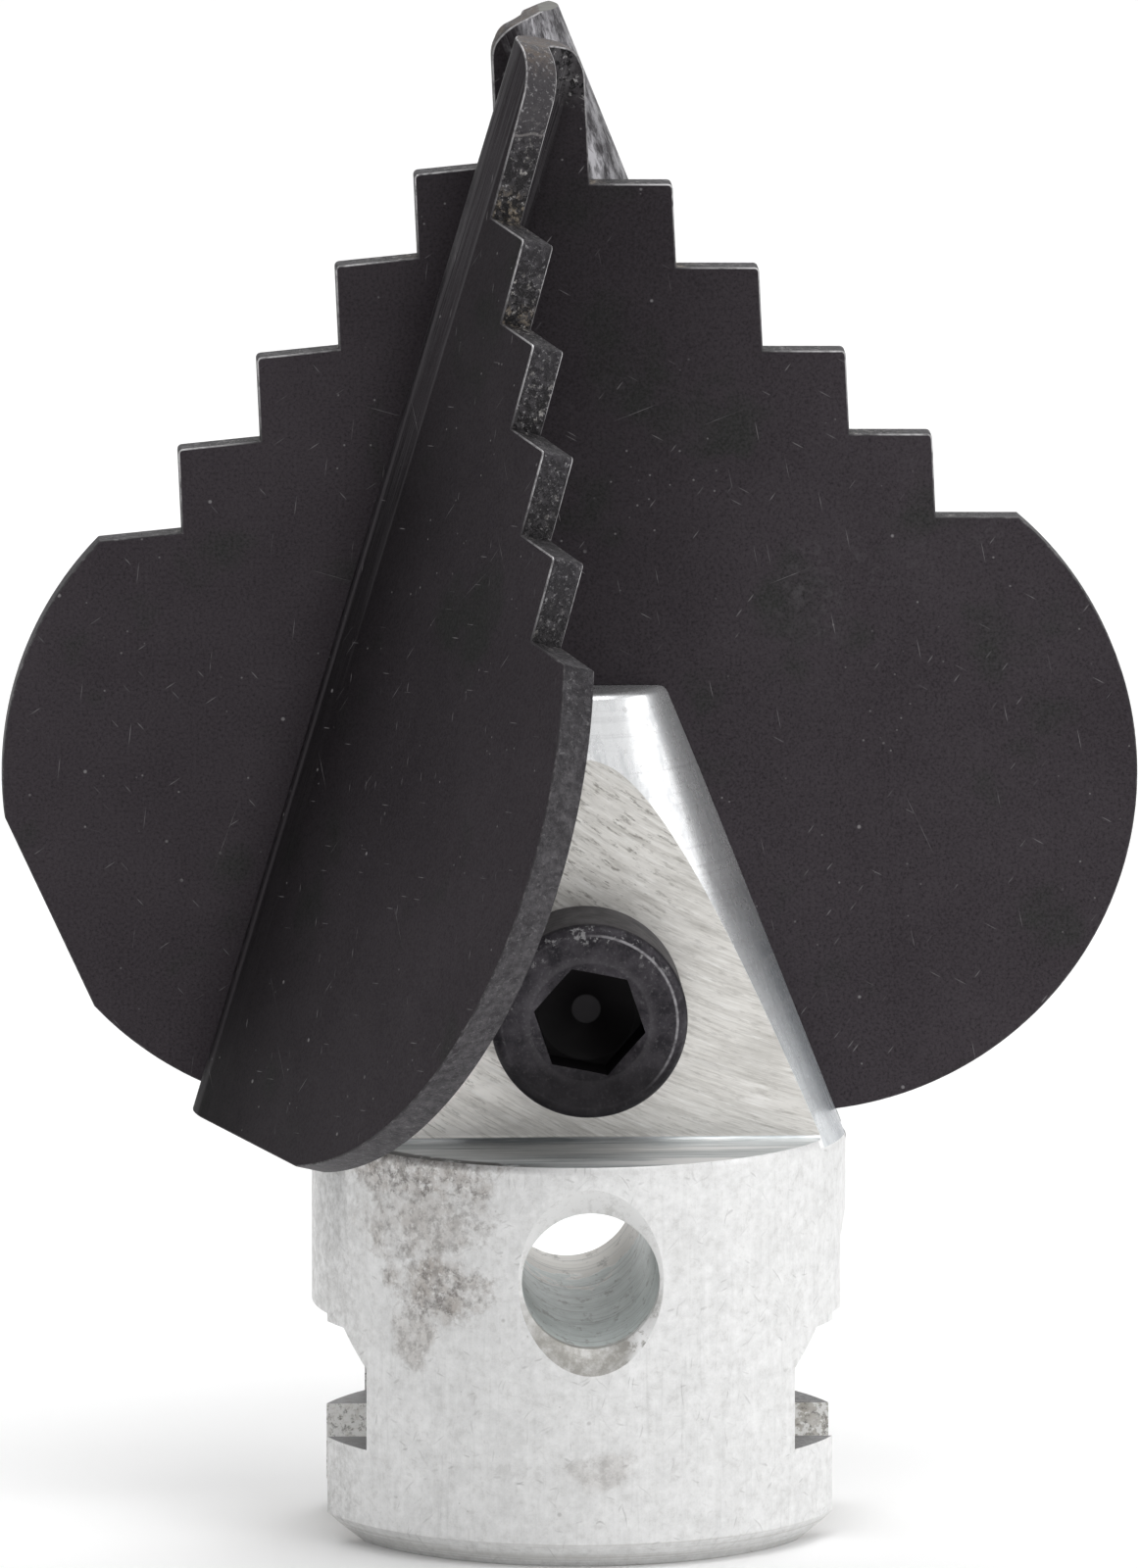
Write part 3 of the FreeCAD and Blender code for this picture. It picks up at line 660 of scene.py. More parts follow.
        # Painted shade: mottled darkening towards the barrel's left edge.
        left_edge_shade = sh.zone("X", -11.2, -12.6) * sh.remap(mottle, 0.42, 0.6, 0.1, 0.6)
        sh.coat(left_edge_shade, self.left)
        self._mottled_patch(sh)
        for spacing, seed, strength in self.specks:
            share = sh.remap(sh.noise(210.0, 1.0, 0.5, shift=(4.0, 2.0, seed)), 0.52, 0.57)
            dots = sh.remap(sh.cells(spacing), 0.03, 0.065, 1.0, 0.0) * share
            sh.coat(dots * strength, self.speck)
        bend = sh.node("ShaderNodeVectorMath", 0, {"operation": "SCALE"}, Scale=0.0007,
                       i0=sh.node("ShaderNodeTexNoise", "Color", None, Vector=sh.place, Scale=700.0,
                                  Detail=1.0))
        skin = sh.node("ShaderNodeVectorMath", 0, {"operation": "ADD"}, i0=self._unrolled(sh), i1=bend)
        faded = sh.remap(sh.noise(800.0, 3.0, 0.6, shift=(8.0, 1.0, 4.0)), 0.4, 0.62, 0.05, 0.34)
        for stroke in self.strokes:
            sh.coat(sh.strokes(skin, *stroke) * faded, self.hairline)
        foot = sh.zone("Z", 1.30, 1.45, 1.0, 0.0)
        cuts = sh.remap(sh.noise(1.0, 2.0, 0.6, sh.mapped((40.0, 40.0, 9000.0))), 0.45, 0.62, 0.0, 0.5)
        sh.coat(foot * cuts, self.foot)
        rough = sh.remap(clouds, 0.0, 1.0, self.roughness - 0.05, self.roughness + 0.06)
        rings = sh.noise(1.0, 2.0, 0.6, sh.mapped((60.0, 60.0, 5200.0)))
        turned = sh.relief(rings, self.ring_depth_mm, 0.4)
        pitted = sh.relief(sh.noise(1900.0, 5.0, 0.72), 0.014, 0.35, turned)
        return sh.finish(rough, self.metallic, pitted)


@dataclass(frozen=True)
class TurnedCone(Finish):
    """Cone of the head: bright and finely turned, streaked along its length, with a painted reflection that
    makes it blue-grey and duller lower down and a painted shadow beside the blade slot.
    """

    pale: Colour = (0.86, 0.87, 0.88)
    # Blue-grey of the lower cone, a painted reflection.
    low: Colour = (0.90, 0.93, 0.945)
    streak: Colour = (0.46, 0.475, 0.49)
    shadow: Colour = (0.31, 0.33, 0.355)
    ring: Colour = (0.56, 0.56, 0.57)
    speck: Colour = (0.4, 0.39, 0.38)

    def paint(self, sh: Shader) -> bpy.types.Material:
        """Paint the cone finish."""
        down = sh.noise(1.0, 4.0, 0.65, sh.mapped((1300.0, 1300.0, 40.0)))
        rings = sh.noise(1.0, 3.0, 0.6, sh.mapped((50.0, 50.0, 5200.0)))
        # Painted reflection: lower down the cone takes the blue-grey tone and less metal, standing in for a
        # dimmer reflection.
        lower = sh.zone("Z", 24.0, 33.0, 1.0, 0.0)
        sh.colour = sh.blend(lower, self.pale, self.low)
        sh.coat(sh.remap(down, 0.46, 0.74, 0.0, 0.7), self.streak)
        # Painted shadow on the front of the cone's lower part, darker towards the blade slot.
        beside = sh.zone("Z", 30.0, 34.5, 1.0, 0.0) * sh.zone("Y", -5.7, -3.4, 0.15, 0.85)
        beside = beside * sh.zone("Y", -1.0, 1.0, 1.0, 0.0)
        sh.coat(beside, self.shadow)
        sh.coat(sh.remap(rings, 0.52, 0.7, 0.0, 0.4), self.ring)
        specks = sh.remap(sh.noise(2300.0, 3.0, 0.7), 0.62, 0.7) * 0.4
        sh.coat(specks, self.speck)
        normal = sh.relief(rings, 0.010, 0.6, sh.relief(down, 0.010, 0.4))
        return sh.finish(sh.remap(down, 0.3, 0.7, 0.2, 0.34), sh.remap(lower, 0.0, 1.0, 0.8, 0.32), normal)


@dataclass(frozen=True)
class BurrWithPaintedHighlight(Finish):
    """Burnished burr along the edge of the milled flat, painted near white, partly as a painted highlight.
    """

    bright: Colour = (0.97, 0.97, 0.97)
    dull: Colour = (0.55, 0.55, 0.54)

    def paint(self, sh: Shader) -> bpy.types.Material:
        """Paint the burr finish."""
        sh.colour = sh.blend(sh.remap(sh.noise(900.0, 4.0, 0.7), 0.54, 0.64), self.bright, self.dull)
        return sh.finish(0.45, 0.1, sh.relief(sh.noise(2200.0, 3.0, 0.6), 0.02, 0.5))


@dataclass(frozen=True)
class MilledFace(Finish):
    """Milled face with fine diagonal cutter marks, warm grey with paler lines, and painted light that makes
    it paler towards the left, where the blade's lobe shades it.
    """

    pale: Colour = (0.775, 0.757, 0.722)
    mark: Colour = (0.52, 0.502, 0.470)
    fleck: Colour = (0.27, 0.255, 0.23)
    bright: Colour = (0.99, 0.965, 0.925)
    line: Colour = (0.93, 0.92, 0.9)
    blotch: Colour = (0.5, 0.485, 0.455)
    centre_mm: Point = (24.8, 73.9)
    radius_mm: float = 50.0

    def paint(self, sh: Shader) -> bpy.types.Material:
        """Paint the milled finish."""
        side = sh.axis("X") - self.centre_mm[0] * MM
        rise = sh.axis("Z") - self.centre_mm[1] * MM
        arc = sh.node("ShaderNodeCombineXYZ", 0, None, Y=0.0,
                      X=sh.maths("ARCTAN2", side, rise) * (self.radius_mm * MM),
                      Z=sh.maths("SQRT", side * side + rise * rise))
        marks = sh.noise(1.0, 5.0, 0.75, sh.mapped((150.0, 1.0, 1900.0), source=arc))
        fine = sh.noise(1.0, 3.0, 0.7, sh.mapped((420.0, 1.0, 6200.0), source=arc))
        # Painted light: the face is paler towards the left, where the blade's lobe shades it.
        ground = sh.blend(sh.zone("X", -6.0, -1.0, 0.9, 0.0), self.pale, self.bright)
        strong = sh.zone("X", -8.0, 3.0, 0.45, 0.80)
        sh.colour = sh.blend(sh.remap(marks, 0.46, 0.66) * strong, ground, self.mark)
        sh.coat(sh.remap(fine, 0.53, 0.68, 0.0, 0.75), self.line)
        sh.coat(sh.remap(fine, 0.47, 0.3, 0.0, 0.85), self.mark)
        flecks = sh.noise(1.0, 4.0, 0.75, sh.mapped((700.0, 1.0, 3600.0), shift=(3.0, 0.0, 8.0),
                                                    source=arc))
        upper_left = sh.remap(sh.axis("Z") - sh.axis("X"), 27.0 * MM, 33.0 * MM, 0.35, 1.0)
        sh.coat(sh.remap(flecks, 0.54, 0.63, 0.0, 0.85) * upper_left, self.fleck)
        blotches = sh.noise(1.0, 4.0, 0.7, sh.mapped((160.0, 1.0, 500.0)))
        sh.coat(sh.remap(blotches, 0.52, 0.7, 0.0, 0.45), self.blotch)
        normal = sh.relief(fine, 0.012, 0.45, sh.relief(marks, 0.020, 0.45))
        return sh.finish(sh.remap(marks, 0.3, 0.7, 0.32, 0.46), 0.6, normal)


@dataclass(frozen=True)
class StreakedLedge(Finish):
    """Ledge under the flat: milled along the slot, blue-grey streaks, painted highlight streaks that grow
    stronger towards the right and a painted shadow under the burr at its left edge.
    """

    pale: Colour = (0.88, 0.90, 0.91)
    dark: Colour = (0.33, 0.37, 0.385)
    # Black for the painted shadow under the burr at the ledge's front rim.
    smear: Colour = (0.02, 0.02, 0.02)
    shine: Colour = (1.0, 1.0, 1.0)

    def paint(self, sh: Shader) -> bpy.types.Material:
        """Paint the ledge finish."""
        streaks = sh.noise(1.0, 5.0, 0.72, sh.mapped((110.0, 2300.0, 900.0)))
        right = sh.zone("X", -2.0, 8.0, 0.0, 0.16)
        sh.colour = sh.blend(sh.maths("ADD", sh.remap(streaks, 0.38, 0.66), right, True), self.dark,
                             self.pale)
        flat = sh.span(sh.mapped((1.0, 1.0, 0.0)))
        # Painted shadow along the left part of the front rim, under the burr.
        rim = sh.remap(flat, 12.6 * MM, 12.95 * MM) * sh.zone("X", -4.6, -1.0, 1.0, 0.0)
        rim = rim * sh.remap(sh.noise(900.0, 3.0, 0.6), 0.34, 0.44)
        # Painted highlight: white streaks, stronger towards the right.
        shine = (sh.remap(sh.noise(1.0, 3.0, 0.6, sh.mapped((60.0, 420.0, 420.0))), 0.52, 0.6)
                 * sh.zone("X", -3.0, 3.0, 0.25, 0.9))
        sh.coat(shine, self.shine)
        sh.coat(rim, self.smear)
        return sh.finish(0.36, 0.5, sh.relief(streaks, 0.02, 0.5))


@dataclass(frozen=True)
class RoughSlot(Finish):
    """Rough, sparkling walls inside the T-slot, browner towards its right mouth."""

    pale: Colour = (1.0, 1.0, 0.99)
    stain: Colour = (0.56, 0.535, 0.49)
    dark: Colour = (0.20, 0.19, 0.175)

    def paint(self, sh: Shader) -> bpy.types.Material:
        """Paint the slot finish."""
        crumbs = sh.noise(2900.0, 5.0, 0.80)
        right = sh.zone("X", -2.0, 6.0)
        base = sh.blend(right * sh.remap(sh.noise(500.0, 4.0, 0.7), 0.35, 0.6, 0.4, 1.0), self.pale,
                        self.stain)
        sh.colour = sh.blend(sh.remap(sh.noise(1300.0, 3.0, 0.7), 0.46, 0.6, 0.0, 0.45), base, self.stain)
        sh.coat(sh.remap(crumbs, 0.5, 0.6, 0.0, 0.8), self.dark)
        sparks = sh.remap(sh.noise(2600.0, 3.0, 0.7, shift=(3.0, 2.0, 6.0)), 0.5, 0.56, 0.0, 0.9)
        sh.coat(sparks, self.pale)
        normal = sh.relief(crumbs, 0.10, 0.8)
        return sh.finish(0.4, 0.0, normal)


@dataclass(frozen=True)
class DrilledBore(Finish):
    """Wall of the cross hole: drilling rings, blue-grey in front and beige beyond a ragged line, with a
    painted glint on the right of the lower countersink.
    """

    beige: Colour = (0.78, 0.762, 0.725)
    slate: Colour = (0.820, 0.870, 0.865)
    sink: Colour = (0.77, 0.77, 0.765)
    grime: Colour = (0.33, 0.315, 0.285)
    smudge: Colour = (0.22, 0.215, 0.20)
    moss: Colour = (0.56, 0.61, 0.595)
    border: Colour = (0.97, 0.96, 0.94)
    ring_dark: Colour = (0.36, 0.365, 0.36)
    ring_light: Colour = (0.8, 0.81, 0.8)
    soot: Colour = (0.40, 0.39, 0.37)
    glint: Colour = (1.0, 1.0, 1.0)
    torn: Colour = (0.02, 0.02, 0.02)
    beige_from_mm: float = 5.6
    sink_from_mm: float = -12.45
    axis_z_mm: float = 14.87

    def paint(self, sh: Shader) -> bpy.types.Material:
        """Paint the bore finish."""
        depth = sh.axis("Y")
        ragged = depth + (sh.noise(420.0, 4.0, 0.65) - 0.5) * 0.017
        moss = sh.remap(sh.noise(900.0, 5.0, 0.75, shift=(1.0, 2.0, 2.0)), 0.42, 0.62, 0.0, 0.6)
        near = sh.blend(moss, self.slate, self.moss)
        sh.colour = sh.blend(sh.remap(ragged, (self.beige_from_mm - 0.1) * MM,
                                      (self.beige_from_mm + 0.15) * MM), near, self.beige)
        off_line = abs(ragged - (self.beige_from_mm + 0.2) * MM)
        sh.coat(sh.remap(off_line, 0.15 * MM, 0.55 * MM, 0.85, 0.0), self.border)
        rings = sh.noise(1.0, 4.0, 0.7, sh.mapped((150.0, 2300.0, 150.0)), 0.4)
        sh.coat(sh.remap(rings, 0.52, 0.68, 0.0, 0.7), self.ring_dark)
        sh.coat(sh.remap(rings, 0.46, 0.3, 0.0, 0.4), self.ring_light)
        marks = sh.remap(sh.noise(1.0, 4.0, 0.72, sh.mapped((1300.0, 520.0, 1300.0),
                                                            shift=(2.0, 1.0, 0.0))), 0.56, 0.66, 0.0, 0.6)
        sh.coat(marks, self.smudge)
        in_sink = sh.remap(depth, self.sink_from_mm * MM, (self.sink_from_mm + 0.12) * MM, 1.0, 0.0)
        under = sh.zone("Z", self.axis_z_mm - 2.8, self.axis_z_mm - 0.6, 1.0, 0.0)
        grime = sh.noise(1500.0, 5.0, 0.75)
        sink_grime_and_glint = sh.blend(under * sh.remap(grime, 0.36, 0.58, 0.4, 0.95), self.sink, self.grime)
        sink_grime_and_glint = sh.blend(sh.remap(grime, 0.50, 0.64, 0.0, 0.40), sink_grime_and_glint, self.soot)
        # Painted glint on the right of the lower countersink.
        lit = sh.zone("X", 1.7, 2.5) * under
        sink_grime_and_glint = sh.blend(lit * sh.remap(grime, 0.62, 0.5), sink_grime_and_glint, self.glint)
        sh.coat(in_sink, sink_grime_and_glint)
        off_rim = abs(depth - (self.sink_from_mm + 0.14) * MM)
        torn = (sh.remap(off_rim, 0.05 * MM, 0.2 * MM, 1.0, 0.0)
                * sh.remap(sh.noise(1000.0, 3.0, 0.7, shift=(4.0, 0.0, 2.0)), 0.46, 0.54, 0.0,
                           0.85))
        above = sh.zone("Z", self.axis_z_mm - 1.4, self.axis_z_mm + 0.4)
        sh.coat(torn * above, self.torn)
        return sh.finish(0.4, 0.4, sh.relief(rings, 0.03, 0.6))


@dataclass(frozen=True)
class ScrewBlack(Finish):
    """Black oxide on the clamp screw, greyed by handling, with painted shade in its socket, off its face
    and on the lower face, and a painted highlight on the rim towards the upper right.
    """

    dark: Colour = (0.018, 0.016, 0.020)
    rubbed: Colour = (0.058, 0.053, 0.061)
    # Black for the painted shade.
    inside: Colour = (0.0035, 0.0028, 0.0035)
    # Less dark centre of the socket's floor within the painted shade.
    disc: Colour = (0.030, 0.027, 0.031)
    grain: Colour = (0.12, 0.115, 0.12)
    dust: Colour = (0.34, 0.33, 0.33)
    ring: Colour = (0.11, 0.105, 0.112)
    rim: Colour = (0.36, 0.35, 0.365)
    chip: Colour = (0.3, 0.295, 0.3)
    roughness: float = 0.43
    rim_highlight_mm: float = 4.46
    axis_z_mm: float = 28.0
    face_y_mm: float = -11.9

    def paint(self, sh: Shader) -> bpy.types.Material:
        """Paint the screw finish."""
        rubs = sh.remap(sh.noise(820.0, 5.0, 0.68), 0.38, 0.66)
        sh.colour = sh.blend(rubs, self.dark, self.rubbed)
        grain = sh.noise(5200.0, 3.0, 0.7)
        sh.coat(sh.remap(grain, 0.54, 0.74, 0.0, 0.6), self.grain)
        dust = (sh.remap(sh.cells(1100.0), 0.04, 0.09, 1.0, 0.0)
                * sh.remap(sh.noise(400.0, 1.0, 0.5), 0.54, 0.6))
        sh.coat(dust * 0.7, self.dust)
        centred = sh.mapped((1.0, 0.0, 1.0), shift=(0.0, 0.0, -self.axis_z_mm * MM))
        spread = sh.span(centred)
        # Painted shade in the socket, a little less dark at the centre of its floor.
        deep = (sh.remap(spread, 2.9 * MM, 2.96 * MM, 1.0, 0.0)
                * sh.zone("Y", self.face_y_mm + 0.13, self.face_y_mm + 0.3))
        sh.coat(deep, self.inside)
        sh.coat(deep * sh.remap(spread, 0.66 * MM, 0.74 * MM, 1.0, 0.0), self.disc)
        on_face = sh.zone("Y", self.face_y_mm + 0.35, self.face_y_mm + 0.20)
        ring = sh.remap(spread, 2.98 * MM, 3.06 * MM) * sh.remap(spread, 3.15 * MM, 3.5 * MM, 1.0, 0.0)
        sh.coat(ring * on_face * 0.28, self.ring)
        # Painted highlight: a thin broken line on the rim's rounding, towards the upper right.
        off_line = abs(spread - self.rim_highlight_mm * MM)
        slant = sh.axis("X") + sh.axis("Z", centred) * 0.4
        lit = sh.remap(slant, 1.4 * MM, 3.4 * MM, 0.06, 1.0)
        rim = sh.remap(off_line, 0.03 * MM, 0.09 * MM, 1.0, 0.0) * (lit * on_face)
        rim = rim * sh.remap(sh.noise(1300.0, 3.0, 0.7), 0.34, 0.58, 0.2, 0.9)
        sh.coat(rim, self.rim)
        high = sh.remap(spread, 3.7 * MM, 4.2 * MM) * sh.remap(sh.axis("Z", centred), 2.2 * MM, 3.2 * MM)
        chips = high * sh.remap(sh.noise(1900.0, 4.0, 0.75), 0.58, 0.65, 0.0, 0.8)
        sh.coat(chips * on_face, self.chip)
        # Painted shade off the face.
        beside = 1.0 - on_face
        sh.coat(beside * 0.3, self.inside)
        # Painted shade on the lower part of the face.
        lower = sh.remap(sh.axis("Z", centred), -0.6 * MM, -3.2 * MM, 0.0, 0.75) * on_face
        sh.coat(lower, self.inside)
        normal = sh.relief(grain, 0.010, 0.6)
        return sh.finish(sh.remap(rubs, 0.0, 1.0, self.roughness + 0.08, self.roughness), 0.1, normal, 0.16)


@dataclass(frozen=True)
class StudioFloor(Finish):
    """Matt white floor."""

    tone: Colour = (0.96, 0.96, 0.96)

    def paint(self, sh: Shader) -> bpy.types.Material:
        """Paint the floor."""
        sh.colour = self.tone
        return sh.finish(0.9, 0.0, None, 0.1)


# Mesh building


def arc_points(centre: Point, radius: float, start: float, end: float, steps: int) -> list[Point]:
    """Return points along an arc, ends included.

    Args:
        centre: Centre of the arc.
        radius: Radius of the arc.
        start: First angle in degrees.
        end: Last angle in degrees.
        steps: Number of segments.

    Returns:
        The points.
    """
    angles = [math.radians(start + (end - start) * step / steps) for step in range(steps + 1)]
    return [(centre[0] + radius * math.cos(a), centre[1] + radius * math.sin(a)) for a in angles]


def rounded_corner(before: Point, corner: Point, after: Point, radius: float, steps: int) -> list[Point]:
    """Replace a corner of an outline by an arc.

    Args:
        before: Point before the corner.
        corner: The corner.
        after: Point after the corner.
        radius: Radius of the arc.
        steps: Number of segments.

    Returns:
        The points of the arc.
    """
    here = Vector(corner)
    first = (Vector(before) - here).normalized()
    second = (Vector(after) - here).normalized()
    half = first.angle(second) / 2
    centre = here + (first + second).normalized() * (radius / math.sin(half))
    start = here + first * (radius / math.tan(half)) - centre
    end = here + second * (radius / math.tan(half)) - centre
    turn = start.angle_signed(end)
    points = []
    for step in range(steps + 1):
        spoke = start.copy()
        spoke.rotate(Matrix.Rotation(-turn * step / steps, 2))
        points.append(tuple(centre + spoke))
    return points


def link_mesh(name: str, mesh: bpy.types.Mesh) -> bpy.types.Object:
    """Link a mesh to the scene as an object at the origin."""
    made = bpy.data.objects.new(name, mesh)
    bpy.context.scene.collection.objects.link(made)
    return made


def plain_mesh(bm: bmesh.types.BMesh, name: str) -> bpy.types.Mesh:
    """Store a bmesh as a mesh without changing its units, and free it."""
    mesh = bpy.data.meshes.new(name)
    bm.to_mesh(mesh)
    bm.free()
    return mesh


def mesh_from(bm: bmesh.types.BMesh, name: str) -> bpy.types.Mesh:
    """Turn a bmesh in millimetres into a mesh in metres and free it."""
    bmesh.ops.scale(bm, vec=(MM, MM, MM), verts=bm.verts)
    return plain_mesh(bm, name)


def extruded(corners: list[Triple], step: Triple) -> bmesh.types.BMesh:
    """Extrude a flat face by a step into a closed solid with outward faces."""
    bm = bmesh.new()
    face = bm.faces.new([bm.verts.new(corner) for corner in corners])
    swept = bmesh.ops.extrude_face_region(bm, geom=[face])
    moved = [item for item in swept["geom"] if isinstance(item, bmesh.types.BMVert)]
    bmesh.ops.translate(bm, vec=step, verts=moved)
    bmesh.ops.recalc_face_normals(bm, faces=bm.faces)
    return bm


def prism(outline: list[Point], plane: str, low: float, high: float) -> bmesh.types.BMesh:
    """Extrude an outline between two heights of the axis it leaves out.

    Args:
        outline: Corner points in the plane.
        plane: "xz" to extrude along Y or "yz" to extrude along X.
        low: Where the prism starts.
        high: Where the prism ends.

    Returns:
        The prism with outward faces.
    """
    if plane == "xz":
        return extruded([(x, low, z) for x, z in outline], (0, high - low, 0))
    return extruded([(low, y, z) for y, z in outline], (high - low, 0, 0))


def lathe(profile: list[Point], axis: str, segments: int) -> bmesh.types.BMesh:
    """Revolve a profile of (radius, height) points whose ends lie on the axis.

    Args:
        profile: Points from one end of the axis to the other.
        axis: "y" or "z".
        segments: Number of segments round the axis.

    Returns:
        The closed solid with outward faces.
    """
    bm = bmesh.new()
    rings = []
    for radius, height in profile:
        if radius < 1e-6:
            place = (0, height, 0) if axis == "y" else (0, 0, height)
            rings.append([bm.verts.new(place)])
            continue
        ring = []
        for step in range(segments):
            angle = 2 * math.pi * step / segments
            a, b = radius * math.cos(angle), radius * math.sin(angle)
            ring.append(bm.verts.new((a, height, b) if axis == "y" else (a, b, height)))
        rings.append(ring)
    for lower, upper in zip(rings, rings[1:]):
        for step in range(segments):
            after = (step + 1) % segments
            corners = [lower[step % len(lower)], lower[after % len(lower)],
                       upper[after % len(upper)], upper[step % len(upper)]]
            unique = list(dict.fromkeys(corners))
            if len(unique) > 2:
                bm.faces.new(unique)
    bmesh.ops.recalc_face_normals(bm, faces=bm.faces)
    return bm


def carve(name: str, solid: bmesh.types.BMesh, cuts: list[bmesh.types.BMesh]) -> bmesh.types.BMesh:
    """Cut solids out of another with exact booleans.

    Args:
        name: Name for the working objects.
        solid: The solid to cut.
        cuts: The solids to remove.

    Returns:
        The carved solid, still in millimetres.
    """
    target = link_mesh(name, plain_mesh(solid, name))
    tools = [link_mesh(name + "_cut", plain_mesh(cut, name + "_cut")) for cut in cuts]
    for tool in tools:
        modifier = target.modifiers.new("cut", "BOOLEAN")
        modifier.operation = "DIFFERENCE"
        modifier.solver = "EXACT"
        modifier.object = tool
    result = evaluated(target)
    bm = bmesh.new()
    bm.from_mesh(result)
    bpy.data.meshes.remove(result)
    for used in [target, *tools]:
        mesh = used.data
        bpy.data.objects.remove(used)
        bpy.data.meshes.remove(mesh)
    bmesh.ops.remove_doubles(bm, verts=bm.verts, dist=0.004)
    return bm


def split(bm: bmesh.types.BMesh, at: Triple, facing: Triple, **options: bool) -> dict:
    """Split a mesh along a plane and return what the cut made."""
    return bmesh.ops.bisect_plane(bm, geom=[*bm.verts, *bm.edges, *bm.faces], dist=1e-5, plane_co=at,
                                  plane_no=facing, **options)


def soften_edges(bm: bmesh.types.BMesh, angle: float, width: float, level: bool = False,
                 **options: str) -> None:
    """Bevel the sharp edges of a solid in two steps.

    Args:
        bm: The solid.
        angle: Edges sharper than this are bevelled, in degrees.
        width: Width of the bevel.
        level: Whether only edges that run level are bevelled.
        options: Further options of the bevel.
    """
    sharp = [edge for edge in bm.edges if len(edge.link_faces) == 2
             and edge.calc_face_angle(0.0) > math.radians(angle)
             and not (level and abs(edge.verts[0].co.z - edge.verts[1].co.z) >= 1e-4)]
    bmesh.ops.bevel(bm, geom=sharp, offset=width, offset_type="OFFSET", segments=2, profile=0.5,
                    affect="EDGES", clamp_overlap=True, **options)


def evaluated(target: bpy.types.Object) -> bpy.types.Mesh:
    """Return a mesh of the object with its modifiers applied."""
    graph = bpy.context.evaluated_depsgraph_get()
    return bpy.data.meshes.new_from_object(target.evaluated_get(graph))


def soften_shading(target: bpy.types.Object, angle: float = 40.0) -> None:
    """Shade smooth with face-area weighted normals, stored in the mesh.

    Args:
        target: The object to shade.
        angle: Edges sharper than this stay sharp, in degrees.
    """
    mesh = target.data
    mesh.shade_smooth()
    mesh.set_sharp_from_angle(angle=math.radians(angle))
    modifier = target.modifiers.new("weighted", "WEIGHTED_NORMAL")
    modifier.mode = "FACE_AREA"
    modifier.weight = 60
    modifier.keep_sharp = True
    result = evaluated(target)
    target.modifiers.clear()
    target.data = result
    bpy.data.meshes.remove(mesh)


def settle_in_frame(bm: bmesh.types.BMesh, name: str, materials: list[bpy.types.Material], angle: float,
                    body: Body, node: str) -> bpy.types.Object:
    """Turn a finished solid into a shaded piece and tie it to the frame.

    Args:
        bm: The solid in millimetres.
        name: Name of the piece.
        materials: Finishes in material slot order.
        angle: Edges sharper than this stay sharp, in degrees.
        body: Body that the piece rides on.
        node: CAD node that it replaces.

    Returns:
        The piece.
    """
    piece = link_mesh(name, mesh_from(bm, name))
    for material in materials:
        piece.data.materials.append(material)
    soften_shading(piece, angle)
    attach(piece, body.value)
    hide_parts(node)
    LOG.info("%s: %d faces on %s", piece.name, len(piece.data.polygons), body.value)
    return piece


# Sub-assemblies


